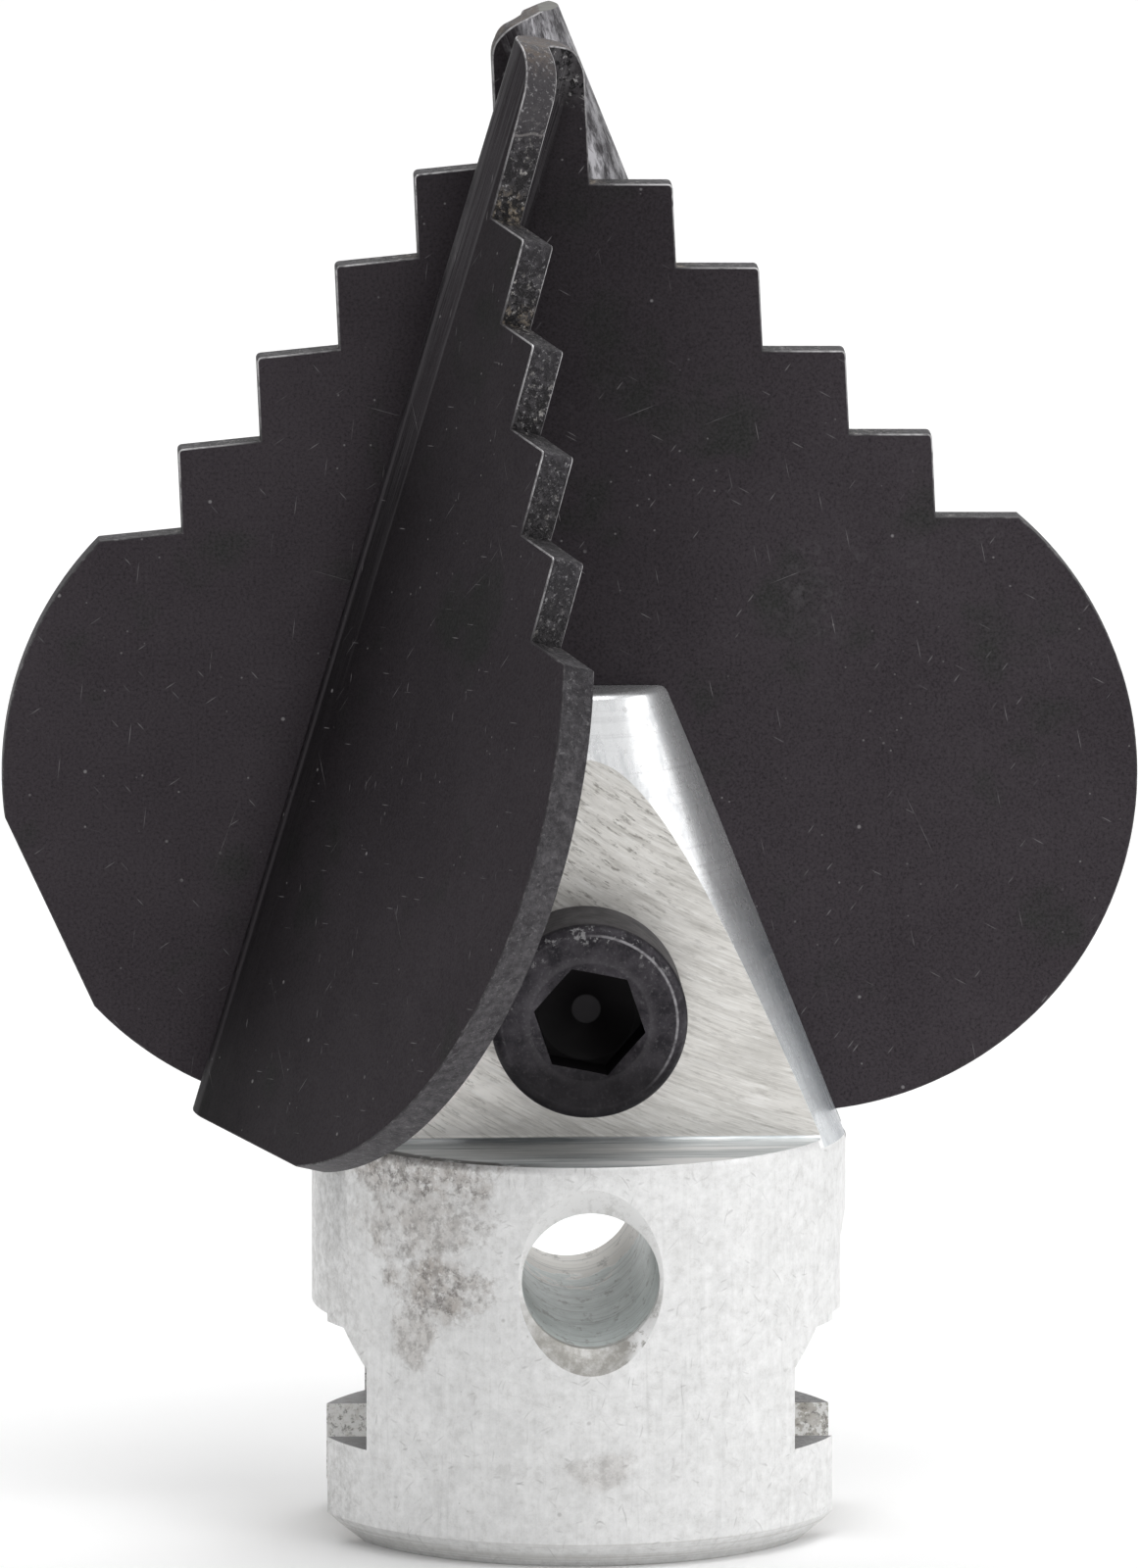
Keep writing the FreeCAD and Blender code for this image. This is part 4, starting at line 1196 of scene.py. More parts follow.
@dataclass
class SheetBlade:
    """One folded sheet blade, cut as a flat pattern and bent.

    The pattern's first coordinate runs across the fold and is 0 where the side wing starts, and the
    second runs along the fold and is 0 at the top.
    """

    side: BladeSide
    sheet: float = 1.8
    inner_radius: float = 1.8
    bend_angle: float = 113.7
    bend_arc: float = 5.36
    lean: float = 19.2
    top_x: float = 2.2
    top_z: float = 76.6096
    length: float = 57.508
    tooth_run: float = 4.215
    tooth_drop: float = 4.505
    tooth_count: int = 5
    tooth_round: float = 0.25
    tongue_edge: float = 0.1
    tongue_height: float = 7.0
    tongue_round: float = 1.8
    side_tread_slope: float = 3.0
    lobe_radius: float = 17.4
    lobe_inset: float = 11.86
    fold_tooth: Point = (6.06, 8.9)
    fold_tread_slope: float = 2.2
    fold_riser_slope: float = 3.3
    nose_round: float = 2.7
    fold_lobe_across: float = 5.7
    fold_lobe_radius: float = 20.2
    fold_bottom_across: float = 11.2
    flat_depth: float = 0.86
    flat_angle: float = 22.3
    facet_z: float = 77.88
    screw_z: float = 28.0
    hole_radius: float = 3.555
    pair_lean: float = 2.53
    offset: float = 0.445
    corner_width: float = 0.075
    wear_reach: float = 1.3
    notch_reach: float = 2.4
    bend_steps: int = 16

    def _stair(self, first: Point, tread_slope: float, riser_slope: float) -> list[Point]:
        """Return tooth points in order from the tip down, tread starts and outer corners."""
        fall = math.tan(math.radians(tread_slope))
        push = math.tan(math.radians(riser_slope))
        riser = (self.tooth_drop - self.tooth_run * fall) / (1 - push * fall)
        tread = self.tooth_run - riser * push
        points = []
        for index in range(self.tooth_count):
            across = first[0] + index * self.tooth_run
            down = first[1] + index * self.tooth_drop
            points += [(across - tread, -(down - tread * fall)), (across, -down)]
        return points

    def _side_stair(self) -> list[Point]:
        """Return the tooth points of the side wing, upright."""
        first = (self.top_x + self.tongue_edge + self.tooth_run, -(self.top_z - self.tongue_height))
        return self._stair(first, self.side_tread_slope, 0.0)

    def _fold_stair(self) -> list[Point]:
        """Return the tooth points of the folded wing, across counted from the bend."""
        return self._stair(self.fold_tooth, self.fold_tread_slope, self.fold_riser_slope)

    def _round_teeth(self, points: list[Point]) -> list[Point]:
        """Round the outer corners of a stair, which are its odd points, the last one excepted."""
        rounded = []
        for index, point in enumerate(points):
            if index % 2 and index < len(points) - 1:
                rounded += rounded_corner(points[index - 1], point, points[index + 1], self.tooth_round, 4)
            else:
                rounded.append(point)
        return rounded

    def _to_pattern(self, x: float, z: float) -> Point:
        """Turn a point of the upright side wing into pattern coordinates."""
        lean = math.radians(self.lean)
        dx, dz = x - self.top_x, z - self.top_z
        return dx * math.cos(lean) - dz * math.sin(lean), dx * math.sin(lean) + dz * math.cos(lean)

    def _side_outline(self) -> list[Point]:
        """Outline of the side wing from the top of the fold round to its foot."""
        stair = self._side_stair()
        last = stair[-1]
        centre = (last[0] - self.lobe_inset,
                  last[1] - math.sqrt(self.lobe_radius ** 2 - self.lobe_inset ** 2))
        start = math.degrees(math.atan2(last[1] - centre[1], last[0] - centre[0]))
        if self.side is BladeSide.REAR:
            half = math.degrees(math.acos(1 - self.flat_depth / self.lobe_radius))
            lobe = arc_points(centre, self.lobe_radius, start, half - self.flat_angle, 28)
            lobe += arc_points(centre, self.lobe_radius, -half - self.flat_angle, -90.0, 28)
        else:
            lobe = arc_points(centre, self.lobe_radius, start, -90.0, 72)
        stair_round = self._round_teeth(stair)[:-1]
        points = [self._to_pattern(x, z) for x, z in stair_round + lobe]
        corner = (points[0][0] + points[0][1] * math.tan(math.radians(self.lean)), 0.0)
        tongue = rounded_corner((-2.0, 0.0), corner, points[0], self.tongue_round, 10)
        lean = math.radians(self.lean)
        bottom = points[-1]
        foot_across = bottom[0] - (self.length + bottom[1]) / math.sin(lean) * math.cos(lean)
        return tongue + points + [(foot_across, -self.length)]

    def _folded_outline(self) -> list[Point]:
        """Outline of the folded wing from the fold's foot up to its top, across counted from the bend."""
        stair = self._fold_stair()
        last = stair[-1]
        reach = math.sqrt(self.fold_lobe_radius ** 2 - (last[0] - self.fold_lobe_across) ** 2)
        centre = (self.fold_lobe_across, last[1] - reach)
        start = math.degrees(math.atan2(reach, last[0] - centre[0]))
        end = -math.degrees(math.acos((self.fold_bottom_across - centre[0]) / self.fold_lobe_radius))
        lobe = arc_points(centre, self.fold_lobe_radius, start, end, 64)
        push = math.tan(math.radians(self.fold_riser_slope))
        nose = (stair[0][0] + stair[0][1] * push, 0.0)
        nose_round = rounded_corner((-2.0, 0.0), nose, stair[0], self.nose_round, 12)
        return nose_round + self._round_teeth(stair)[:-1] + lobe + [(0.0, -self.length)]

    def _bent(self, across: float, along: float, depth: float) -> Vector:
        """Place a point of the pattern in the fold's own upright frame.

        Args:
            across: Pattern coordinate across the fold.
            along: Pattern coordinate along the fold.
            depth: Depth into the sheet from its outer face.

        Returns:
            The bent point.
        """
        outer = self.inner_radius + self.sheet
        if across >= 0:
            return Vector((across, -depth, along))
        turned = min(-across / self.bend_arc, 1.0) * math.radians(self.bend_angle)
        beyond = max(-across - self.bend_arc, 0.0)
        radius = outer - depth
        return Vector((-radius * math.sin(turned) - beyond * math.cos(turned),
                       -outer + radius * math.cos(turned) - beyond * math.sin(turned), along))

    def _placement(self) -> Matrix:
        """Matrix from the fold's own frame to the row's frame."""
        sign = -1.0 if self.side is BladeSide.FRONT else 1.0
        pivot = Vector((0, 0, self.screw_z))
        place = (Matrix.Translation((self.top_x, 0, self.top_z)) @ Matrix.Rotation(math.radians(self.lean),
                                                                                   4, "Y"))
        if self.side is BladeSide.REAR:
            place = Matrix.Rotation(math.pi, 4, "Z") @ place
        place = Matrix.Translation((0, 0, sign * self.offset)) @ place
        turn = (Matrix.Translation(pivot) @ Matrix.Rotation(math.radians(-self.pair_lean), 4, "Y")
                @ Matrix.Translation(-pivot))
        return turn @ place

    def _flat_blank(self) -> bmesh.types.BMesh:
        """Cut the flat pattern, with the screw hole and softened corners, thickness along Z."""
        folded = [(-self.bend_arc - across, along) for across, along in self._folded_outline()]
        outline = self._side_outline() + folded[::-1]
        bm = extruded([(across, along, 0) for across, along in outline], (0, 0, self.sheet))
        hole = lathe([(0, -1), (self.hole_radius, -1), (self.hole_radius, self.sheet + 1),
                      (0, self.sheet + 1)], "z", 48)
        centre = self._to_pattern(0.0, self.screw_z)
        bmesh.ops.translate(hole, vec=(centre[0], centre[1], 0), verts=hole.verts)
        bm = carve("blank", bm, [hole])
        soften_edges(bm, 60, self.corner_width, level=True)
        for step in range(self.bend_steps + 1):
            split(bm, (-self.bend_arc * step / self.bend_steps, 0, 0), (1, 0, 0))
        return bm

    def _assign_zones(self, bm: bmesh.types.BMesh) -> None:
        """Give each face of the flat blank its finish zone."""
        for face in bm.faces:
            lift = abs(face.normal.z)
            if lift > 0.99:
                face.material_index = SheetZone.FACE.value
            elif lift < 0.05:
                face.material_index = SheetZone.SHEARED.value
            else:
                face.material_index = SheetZone.EDGE.value

    def _mark_wear(self, bm: bmesh.types.BMesh) -> None:
        """Store per point what the finishes follow: wear at tooth corners and nose, notches, outer face."""
        side = [Vector(self._to_pattern(x, z)) for x, z in self._side_stair()]
        folded = [Vector((-self.bend_arc - across, along)) for across, along in self._fold_stair()]
        corners, roots = side[1::2][:-1] + folded[1::2][:-1], side[::2] + folded[::2]
        wear, notch, outer = (bm.verts.layers.float.new(name) for name in ("wear", "notch", "outer"))
        for vert in bm.verts:
            place = vert.co.xy
            nose = 0.6 if place.y > -3.2 else 0.0
            to_corner = min((place - corner).length for corner in corners)
            to_root = min((place - root).length for root in roots)
            vert[wear] = max(1.0 - to_corner / self.wear_reach, nose, 0.0)
            vert[notch] = max(1.0 - to_root / self.notch_reach, 0.0)
            vert[outer] = 1.0 if vert.co.z < self.sheet / 2 else 0.0

    def build(self) -> bpy.types.Object:
        """Cut, bend and place the blade.

        Returns:
            The finished blade.
        """
        bm = self._flat_blank()
        bm.normal_update()
        self._assign_zones(bm)
        self._mark_wear(bm)
        pattern = bm.loops.layers.uv.new("pattern")
        for face in bm.faces:
            for loop in face.loops:
                loop[pattern].uv = loop.vert.co.xy / PATTERN_MM
        place = self._placement()
        for vert in bm.verts:
            vert.co = place @ self._bent(vert.co.x, vert.co.y, vert.co.z)
        if self.side is BladeSide.REAR:
            self._grind_tip(bm)
        bmesh.ops.recalc_face_normals(bm, faces=bm.faces)
        name = self.side.value
        polish = 1.0 if self.side is BladeSide.REAR else 0.2
        finishes = {"face": BlackOxide(polish=polish), "sheared": ShearedEdge(), "corner": WornCorner(),
                    "ground": GroundSteel()}
        materials = [finish.material(f"{name}_{zone}") for zone, finish in finishes.items()]
        return settle_in_frame(bm, name + "_sheet", materials, 32.0, Body.CUTTER, name)

    def _grind_tip(self, bm: bmesh.types.BMesh) -> None:
        """Grind the level facet on the tip of the rear blade."""
        cut = split(bm, (0, 0, self.facet_z), (0, 0, 1), clear_outer=True)
        rim = [item for item in cut["geom_cut"] if isinstance(item, bmesh.types.BMEdge)]
        for face in bmesh.ops.holes_fill(bm, edges=rim, sides=0)["faces"]:
            face.material_index = SheetZone.GROUND.value


@dataclass
class CouplingHead:
    """Turned and milled head with its T-slot, cross hole, screw seat and blade slot."""

    radius: float = 13.65
    foot_chamfer: float = 1.35
    cone_base_z: float = 20.4
    cone_top_z: float = 43.65
    cone_top_radius: float = 4.675
    cone_top_round: float = 0.5
    seat_y: float = -5.9
    ledge_z: float = 20.8
    seat_round: float = 0.35
    neck: float = 9.0
    mouth_chamfer: float = 1.0
    lip: float = 5.25
    cavity: float = 16.4
    cavity_top: float = 11.25
    cavity_chamfer: float = 1.8
    channel: float = 0.4
    channel_reach: float = 5.0
    slot_turn: float = -2.0
    key_radius: float = 3.5
    key_z: float = 14.87
    sink_radius: float = 4.8
    sink_angle: float = 130.0
    relief_depth: float = 0.45
    relief_height: float = 3.6
    relief_run: float = 1.5
    slot_half: float = 1.85
    slot_floor: float = 20.1024
    screw_z: float = 28.0
    front_hole: float = 3.3
    rear_hole: float = 3.05
    segments: int = 192
    edge_width: float = 0.14
    bright_rim_x: float = -1.5

    def _turned(self) -> bmesh.types.BMesh:
        """Turn the head's outside."""
        top = rounded_corner((self.radius, self.cone_base_z), (self.cone_top_radius, self.cone_top_z),
                             (0.0, self.cone_top_z), self.cone_top_round, 5)
        profile = [(0.0, 0.0), (self.radius - self.foot_chamfer, 0.0), (self.radius, self.foot_chamfer),
                   (self.radius, self.cone_base_z), *top, (0.0, self.cone_top_z)]
        return lathe(profile, "z", self.segments)

    def _seat(self) -> bmesh.types.BMesh:
        """Milling cut above the ledge, in front of the flat."""
        reach = self.radius + 1
        centre = (self.seat_y - self.seat_round, self.ledge_z + self.seat_round)
        corner = arc_points(centre, self.seat_round, 0.0, -90.0, 8)
        outline = [(self.seat_y, self.cone_top_z + 1), *corner, (-reach, self.ledge_z),
                   (-reach, self.cone_top_z + 1)]
        return prism(outline, "yz", -reach, reach)

    def _t_slot(self) -> bmesh.types.BMesh:
        """T-slot, open below and at both sides."""
        neck, cavity = self.neck / 2, self.cavity / 2
        right = [(neck + self.mouth_chamfer + 1, -1.0), (neck, self.mouth_chamfer), (neck, self.lip),
                 (cavity, self.lip), (cavity, self.cavity_top - self.cavity_chamfer),
                 (cavity - self.cavity_chamfer, self.cavity_top)]
        outline = right + [(-y, z) for y, z in reversed(right)]
        return self._turned_with_slot(prism(outline, "yz", -self.radius - 1, self.radius + 1))

    def _channel(self, side: int) -> bmesh.types.BMesh:
        """Shallow channel in the slot's roof, in from one mouth; side is -1 or 1."""
        neck, low, high = self.neck / 2, self.cavity_top - 1, self.cavity_top + self.channel
        ends = sorted((side * (self.radius + 1), side * (self.radius - self.channel_reach)))
        return self._turned_with_slot(prism([(-neck, low), (neck, low), (neck, high), (-neck, high)], "yz",
                                            *ends))

    def _turned_with_slot(self, bm: bmesh.types.BMesh) -> bmesh.types.BMesh:
        """Turn a cutter by the small angle between the T-slot and the blade slot."""
        bmesh.ops.rotate(bm, cent=(0, 0, 0), matrix=Matrix.Rotation(math.radians(self.slot_turn), 3, "Z"),
                         verts=bm.verts)
        return bm

    def _key_hole(self) -> bmesh.types.BMesh:
        """Cross hole with both countersinks as one turned cutter."""
        flare = math.tan(math.radians(self.sink_angle / 2))
        depth = (self.sink_radius - self.key_radius) / flare
        wide = self.key_radius + (depth + 1) * flare
        end, inner = self.radius + 1, self.radius - depth
        profile = [(0, -end), (wide, -end), (self.key_radius, -inner), (self.key_radius, inner),
                   (wide, end), (0, end)]
        bm = lathe(profile, "y", 96)
        bmesh.ops.translate(bm, vec=(0, 0, self.key_z), verts=bm.verts)
        return bm

    def _relief(self) -> bmesh.types.BMesh:
        """Shallow flat over the right mouth of the T-slot."""
        floor, outer = self.radius - self.relief_depth, self.radius + 1
        top = self.cavity_top + self.channel + self.relief_height
        slope = self.relief_run / self.relief_depth
        outline = [(floor, self.lip), (outer, self.lip), (outer, top + slope * (outer - floor)),
                   (floor, top)]
        return prism(outline, "xz", -self.radius, self.radius)

    def _blade_slot(self) -> bmesh.types.BMesh:
        """Slot for both blades."""
        half = self.slot_half
        outline = [(-half, self.slot_floor), (half, self.slot_floor), (half, self.cone_top_z + 1),
                   (-half, self.cone_top_z + 1)]
        return prism(outline, "yz", -self.radius - 1, self.radius + 1)

    def _screw_hole(self, radius: float, start: float, end: float) -> bmesh.types.BMesh:
        """Round hole along Y at the screw's height."""
        bm = lathe([(0, start), (radius, start), (radius, end), (0, end)], "y", 64)
        bmesh.ops.translate(bm, vec=(0, 0, self.screw_z), verts=bm.verts)
        return bm

    def _zone_of(self, face: bmesh.types.BMFace) -> HeadZone:
        """Choose a face's finish from where it lies and which way it looks."""
        centre, normal = face.calc_center_median(), face.normal
        spread = math.hypot(centre.x, centre.y)
        from_key = math.hypot(centre.x, centre.z - self.key_z)
        inwards = (normal.x * centre.x + normal.z * (centre.z - self.key_z)) / max(from_key, 0.01)
        if from_key < self.sink_radius + 0.05 and inwards < -0.12 and centre.z < self.ledge_z - 0.5:
            return HeadZone.BORE
        in_slot = 0.05 < centre.z < self.cavity_top + self.channel + 0.05 and spread < self.radius - 0.25
        on_chamfer = abs(normal.z) > 0.3 and spread > self.radius - 1.6 and centre.z < 1.4
        if in_slot and not on_chamfer:
            if normal.z > 0.7:
                return HeadZone.SHADED_LIP
            return HeadZone.SHADED_ROOF if normal.z < -0.3 else HeadZone.SLOT
        if abs(centre.y - self.seat_y) < 0.05 and abs(normal.y) > 0.9:
            return HeadZone.FLAT
        # Bevels along the flat's edges and on the right of the barrel's front rim take the near-white burr
        # finish, partly as painted highlight.
        if abs(centre.y - self.seat_y) < 0.16 and spread > 5.0 and centre.z > self.ledge_z + 0.5:
            return HeadZone.BURR_HIGHLIGHT
        on_rim = abs(centre.z - self.ledge_z) < 0.2 and spread > self.radius - 0.16
        if on_rim and 0.2 < normal.z < 0.98 and centre.y < self.seat_y and centre.x > self.bright_rim_x:
            return HeadZone.BURR_HIGHLIGHT
        if centre.y < self.seat_y + 0.05 and self.ledge_z - 0.1 < centre.z < self.ledge_z + self.seat_round:
            return HeadZone.LEDGE
        if centre.z > self.cone_base_z + 0.05 and not (centre.y < self.seat_y and centre.z < self.ledge_z):
            return HeadZone.CONE
        return HeadZone.BARREL

    def build(self) -> bpy.types.Object:
        """Turn, mill and drill the head and soften its edges.

        Returns:
            The finished head.
        """
        cuts = [self._seat(), self._t_slot(), self._channel(-1), self._channel(1), self._relief(),
                self._blade_slot(), self._key_hole(), self._screw_hole(self.front_hole, -self.radius, 0.0),
                self._screw_hole(self.rear_hole, 0.0, self.radius)]
        bm = carve("head", self._turned(), cuts)
        bmesh.ops.dissolve_degenerate(bm, dist=0.003, edges=bm.edges)
        bm.normal_update()
        soften_edges(bm, 24, self.edge_width, miter_outer="ARC")
        bmesh.ops.remove_doubles(bm, verts=bm.verts, dist=0.002)
        bm.normal_update()
        for face in bm.faces:
            face.material_index = self._zone_of(face).value
        finishes = {"barrel": ZincPlate(), "cone": TurnedCone(), "flat": MilledFace(),
                    "ledge": StreakedLedge(), "slot": RoughSlot(), "bore": DrilledBore(),
                    # The lip and the roof take darker copies of the slot's finish, as painted shade.
                    "burr": BurrWithPaintedHighlight(), "lip": RoughSlot((0.27, 0.27, 0.28), (0.14, 0.14, 0.145)),
                    "roof": RoughSlot((0.74, 0.71, 0.665), (0.3, 0.285, 0.26))}
        materials = [finish.material(f"coupling_head_{zone}") for zone, finish in finishes.items()]
        return settle_in_frame(bm, "coupling_head_body", materials, 30.0, Body.CUTTER, "coupling_head")


@dataclass
class ClampScrew:
    """Socket head cap screw with a rolled thread made by geometry nodes."""

    seat_y: float = -5.9
    axis_z: float = 28.0
    thread_radius: float = 3.0
    thread_root: float = 2.42
    pitch: float = 1.0
    length: float = 16.0
    head_radius: float = 5.0
    head_height: float = 6.0
    head_round: float = 0.55
    under_round: float = 0.25
    socket: float = 5.0
    socket_depth: float = 3.0
    socket_turn: float = -11.4
    mouth_radius: float = 3.12
    mouth_depth: float = 0.16
    tip_chamfer: float = 0.6
    edge_width: float = 0.07
    around: int = 73
    along: int = 259

    def _head(self) -> bmesh.types.BMesh:
        """Head with its rounded rim and hexagon socket, seat at y = 0."""
        front = -self.head_height
        rim = rounded_corner((0.0, front), (self.head_radius, front), (self.head_radius, 0.0),
                             self.head_round, 8)
        under = rounded_corner((self.head_radius, front), (self.head_radius, 0.0), (0.0, 0.0),
                               self.under_round, 4)
        body = lathe([(0.0, front), *rim, *under, (0.0, 0.0)], "y", 128)
        corner = self.socket / math.sqrt(3)
        angles = [math.radians(self.socket_turn + 60 * step) for step in range(6)]
        outline = [(corner * math.cos(angle), corner * math.sin(angle)) for angle in angles]
        hexagon = prism(outline, "xz", front - 1, front + self.socket_depth)
        bore, bottom = self.socket / 2 - 0.02, front + self.socket_depth
        point = lathe([(0, front + 2), (bore, front + 2), (bore, bottom - 0.02), (0.75, bottom + 1.0),
                       (0, bottom + 1.0)], "y", 48)
        rise = self.mouth_depth / (self.mouth_radius - self.socket / 2)
        mouth = lathe([(0, front - 0.3), (self.mouth_radius + 0.3 / rise, front - 0.3),
                       (self.socket / 2, front + self.mouth_depth), (0, front + self.mouth_depth)], "y", 96)
        bm = carve("screw_head", body, [hexagon, point, mouth])
        bmesh.ops.dissolve_degenerate(bm, dist=0.003, edges=bm.edges)
        bm.normal_update()
        soften_edges(bm, 28, self.edge_width)
        return bm

    def _thread_tree(self) -> bpy.types.NodeTree:
        """Geometry nodes that wrap a grid into a closed threaded shank along +Y."""
        tree = bpy.data.node_groups.new("rolled_thread", "GeometryNodeTree")
        tree.interface.new_socket("Geometry", in_out="OUTPUT", socket_type="NodeSocketGeometry")
        kinds = {"Length": "Float", "Pitch": "Float", "Crest radius": "Float", "Root radius": "Float",
                 "Tip chamfer": "Float", "Around": "Int", "Along": "Int", "Material": "Material"}
        for name, kind in kinds.items():
            tree.interface.new_socket(name, in_out="INPUT", socket_type=f"NodeSocket{kind}")
        graph, given = Graph(tree), tree.nodes.new("NodeGroupInput").outputs
        length, pitch, crest, root, chamfer, around, along, material = (Field(graph, given[name])
                                                                        for name in kinds)
        grid = graph.node("GeometryNodeMeshGrid", "Mesh", Size_X=1.0, Size_Y=1.0, Vertices_X=around,
                          Vertices_Y=along)
        position = graph.node("GeometryNodeInputPosition")
        turn = graph.node("ShaderNodeSeparateXYZ", "X", i0=position) + 0.5
        last = along - 1.0
        row = (graph.node("ShaderNodeSeparateXYZ", "Y", i0=position) + 0.5) * last
        height = graph.maths("DIVIDE", row - 1.0, last - 2.0, True) * length
        phase = graph.maths("FRACT", height / pitch - turn)
        ridge = graph.maths("MULTIPLY", 1.0 - abs(phase * 2.0 - 1.0) - 0.12, 1.45, True)
        radius = graph.maths("MINIMUM", root + ridge * (crest - root), crest - chamfer + (length - height))
        is_end = graph.maths("LESS_THAN", row, 0.5) + graph.maths("GREATER_THAN", row, last - 0.5)
        radius = radius * (1.0 - is_end)
        angle = turn * (2 * math.pi)
        point = graph.node("ShaderNodeCombineXYZ", X=radius * graph.maths("COSINE", angle), Y=height,
                           Z=radius * graph.maths("SINE", angle))
        moved = graph.node("GeometryNodeSetPosition", Geometry=grid, Position=point)
        merged = graph.node("GeometryNodeMergeByDistance", Geometry=moved, Distance=0.001)
        realized = graph.node("GeometryNodeRealizeInstances", Geometry=merged)
        painted = graph.node("GeometryNodeSetMaterial", Geometry=realized, Material=material)
        tree.links.new(painted.socket, tree.nodes.new("NodeGroupOutput").inputs[0])
        return tree

    def _shank(self, material: bpy.types.Material) -> bmesh.types.BMesh:
        """Make the threaded shank as a closed mesh, still in millimetres."""
        tree = self._thread_tree()
        carrier = link_mesh("thread", bpy.data.meshes.new("thread"))
        modifier = carrier.modifiers.new("thread", "NODES")
        modifier.node_group = tree
        sizes = {"Length": self.length, "Pitch": self.pitch, "Crest radius": self.thread_radius,
                 "Root radius": self.thread_root, "Tip chamfer": self.tip_chamfer, "Around": self.around,
                 "Along": self.along, "Material": material}
        for socket in tree.interface.items_tree:
            if socket.in_out == "INPUT" and socket.name in sizes:
                modifier[socket.identifier] = sizes[socket.name]
        mesh = evaluated(carrier)
        bm = bmesh.new()
        bm.from_mesh(mesh)
        bpy.data.objects.remove(carrier)
        bmesh.ops.remove_doubles(bm, verts=bm.verts, dist=0.002)
        bmesh.ops.recalc_face_normals(bm, faces=bm.faces)
        return bm

    def build(self) -> bpy.types.Object:
        """Join head and shank and place the screw.

        Returns:
            The finished screw.
        """
        material = ScrewBlack().material("clamp_screw_black")
        bm = self._head()
        shank = plain_mesh(self._shank(material), "shank")
        bm.from_mesh(shank)
        bpy.data.meshes.remove(shank)
        for face in bm.faces:
            face.material_index = 0
        bmesh.ops.translate(bm, vec=(0, self.seat_y, self.axis_z), verts=bm.verts)
        return settle_in_frame(bm, "clamp_screw_body", [material], 30.0, Body.SCREW, "clamp_screw")


def aimed(name: str, data: bpy.types.ID, target: Triple, azimuth: float, elevation: float,
          distance: float) -> bpy.types.Object:
    """Add a light or a camera round a target, aimed at it.

    Args:
        name: Name of the object.
        data: The light or camera.
        target: Point to aim at, in millimetres.
        azimuth: Angle from the front, positive towards +X, in degrees.
        elevation: Angle above the level, in degrees.
        distance: Distance from the target in millimetres.

    Returns:
        The object.
    """
    made = bpy.data.objects.new(name, data)
    bpy.context.scene.collection.objects.link(made)
    turn, rise = math.radians(azimuth), math.radians(elevation)
    away = Vector((math.sin(turn) * math.cos(rise), -math.cos(turn) * math.cos(rise), math.sin(rise)))
    made.location = (Vector(target) + away * distance) * MM
    made.rotation_euler = (-away).to_track_quat("-Z", "Y").to_euler()
    return made


@dataclass(frozen=True)
class SoftLight:
    """One soft box, placed round the object and aimed at it."""

    name: str
    azimuth: float
    elevation: float
    reach: float
    width: float
    height: float
    power: float
    tone: Colour = (1.0, 1.0, 1.0)

    def place(self, target: Triple) -> bpy.types.Object:
        """Add the light to the scene, aimed at a target in millimetres."""
        data = bpy.data.lights.new(self.name, "AREA")
        data.shape = "RECTANGLE"
        data.size, data.size_y = self.width * MM, self.height * MM
        data.energy = self.power
        data.color = self.tone
        return aimed(self.name, data, target, self.azimuth, self.elevation, self.reach)


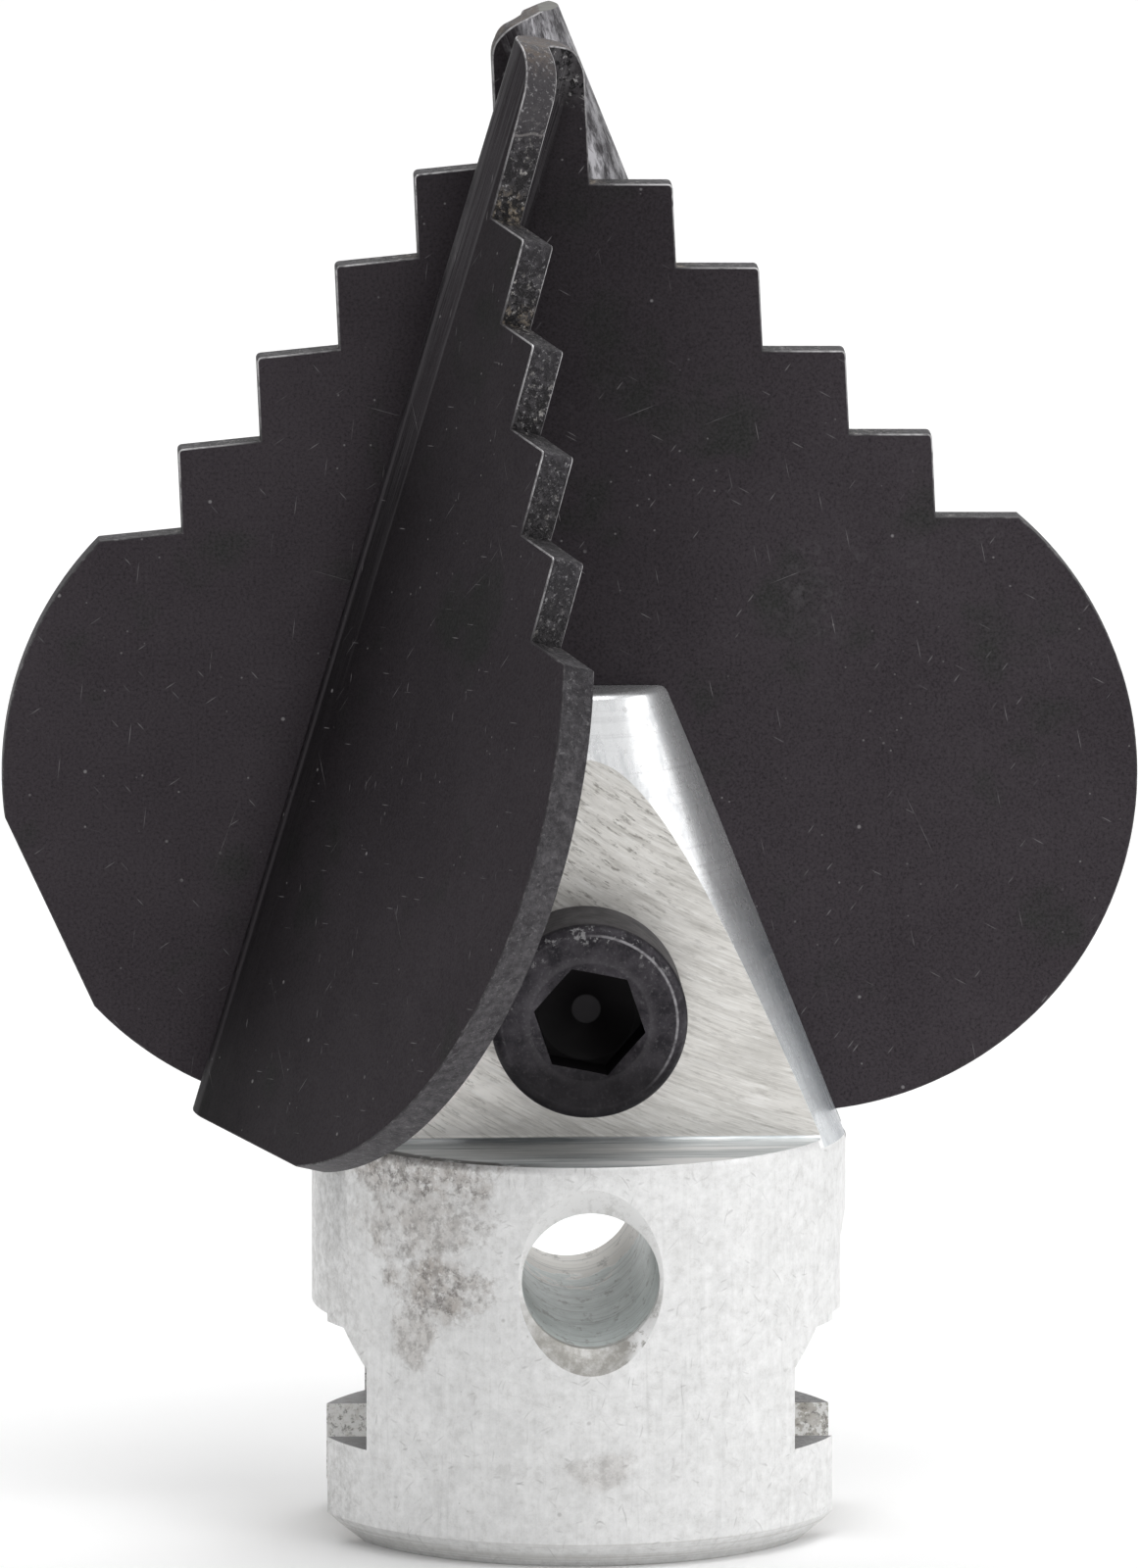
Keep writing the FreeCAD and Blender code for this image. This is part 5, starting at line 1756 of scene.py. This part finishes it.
@dataclass
class Studio:
    """Pale floor, a room that darkens overhead and to the left, soft boxes and the photograph's camera.

    Azimuths are counted from the front, positive towards +X.
    """

    target: Triple = (-0.469, 0.0, 38.252)
    distance: float = 1500.0
    azimuth: float = -2.7
    elevation: float = 9.6
    lens: float = 450.0
    sensor: float = 24.0
    floor_half: float = 2600.0
    horizon: float = 0.98
    overhead: float = 0.66
    darkest_rise: float = 0.75
    left_share: float = 0.36
    left_end: float = -0.55
    right_end: float = 0.3
    lights: tuple[SoftLight, ...] = (
        SoftLight("key_right", 80.0, 24.0, 750.0, 480.0, 420.0, 0.60),
        SoftLight("fill_left", -40.0, 46.0, 850.0, 420.0, 420.0, 0.25),
        SoftLight("top_front", 10.0, 66.0, 800.0, 620.0, 420.0, 2.6),
        SoftLight("backdrop", 178.0, 57.0, 800.0, 900.0, 500.0, 3.4),
    )

    def _floor(self) -> bpy.types.Object:
        """Wide flat floor."""
        half = self.floor_half
        bm = bmesh.new()
        corners = ((-half, -half, 0.0), (half, -half, 0.0), (half, half, 0.0), (-half, half, 0.0))
        bm.faces.new([bm.verts.new(corner) for corner in corners])
        floor = link_mesh("studio_floor", mesh_from(bm, "studio_floor"))
        floor.data.materials.append(StudioFloor().material("studio_floor"))
        return floor

    def _room(self) -> None:
        """World light that falls off from a pale horizon to the ceiling, and towards the left."""
        world = bpy.data.worlds.new("studio_room")
        world.use_nodes = True
        graph = Graph(world.node_tree)
        background = graph.tree.nodes["Background"]
        direction = graph.node("ShaderNodeTexCoord", "Generated")
        upwards = graph.node("ShaderNodeSeparateXYZ", "Z", i0=direction)
        level = graph.node("ShaderNodeMapRange", 0, {"clamp": True}, i0=upwards, i1=0.0,
                           i2=self.darkest_rise, i3=self.horizon, i4=self.overhead)
        sideways = graph.node("ShaderNodeSeparateXYZ", "X", i0=direction)
        side = graph.node("ShaderNodeMapRange", 0, {"interpolation_type": "SMOOTHSTEP"}, i0=sideways,
                          i1=self.left_end, i2=self.right_end, i3=self.left_share, i4=1.0)
        graph.feed(background.inputs["Strength"], level * side)
        background.inputs["Color"].default_value = (1.0, 1.0, 1.0, 1.0)
        bpy.context.scene.world = world
        bpy.context.scene.view_settings.view_transform = "Standard"

    def _camera(self) -> None:
        """Place the camera at the photograph's angle and framing."""
        data = bpy.data.cameras.new("photo_camera")
        data.sensor_fit = "VERTICAL"
        data.sensor_height = self.sensor
        data.lens = self.lens
        data.clip_start, data.clip_end = 0.05, 20.0
        bpy.context.scene.camera = aimed("photo_camera", data, self.target, self.azimuth, self.elevation,
                                         self.distance)

    def build(self) -> None:
        """Build the whole studio."""
        self._floor()
        self._room()
        for light in self.lights:
            light.place(self.target)
        self._camera()


def main() -> None:
    """Build the object's pieces, then the studio."""
    logging.basicConfig(level=logging.INFO, format="%(name)s: %(message)s")
    CouplingHead().build()
    SheetBlade(BladeSide.FRONT).build()
    SheetBlade(BladeSide.REAR).build()
    ClampScrew().build()
    Studio().build()


if __name__ == "__main__":
    main()
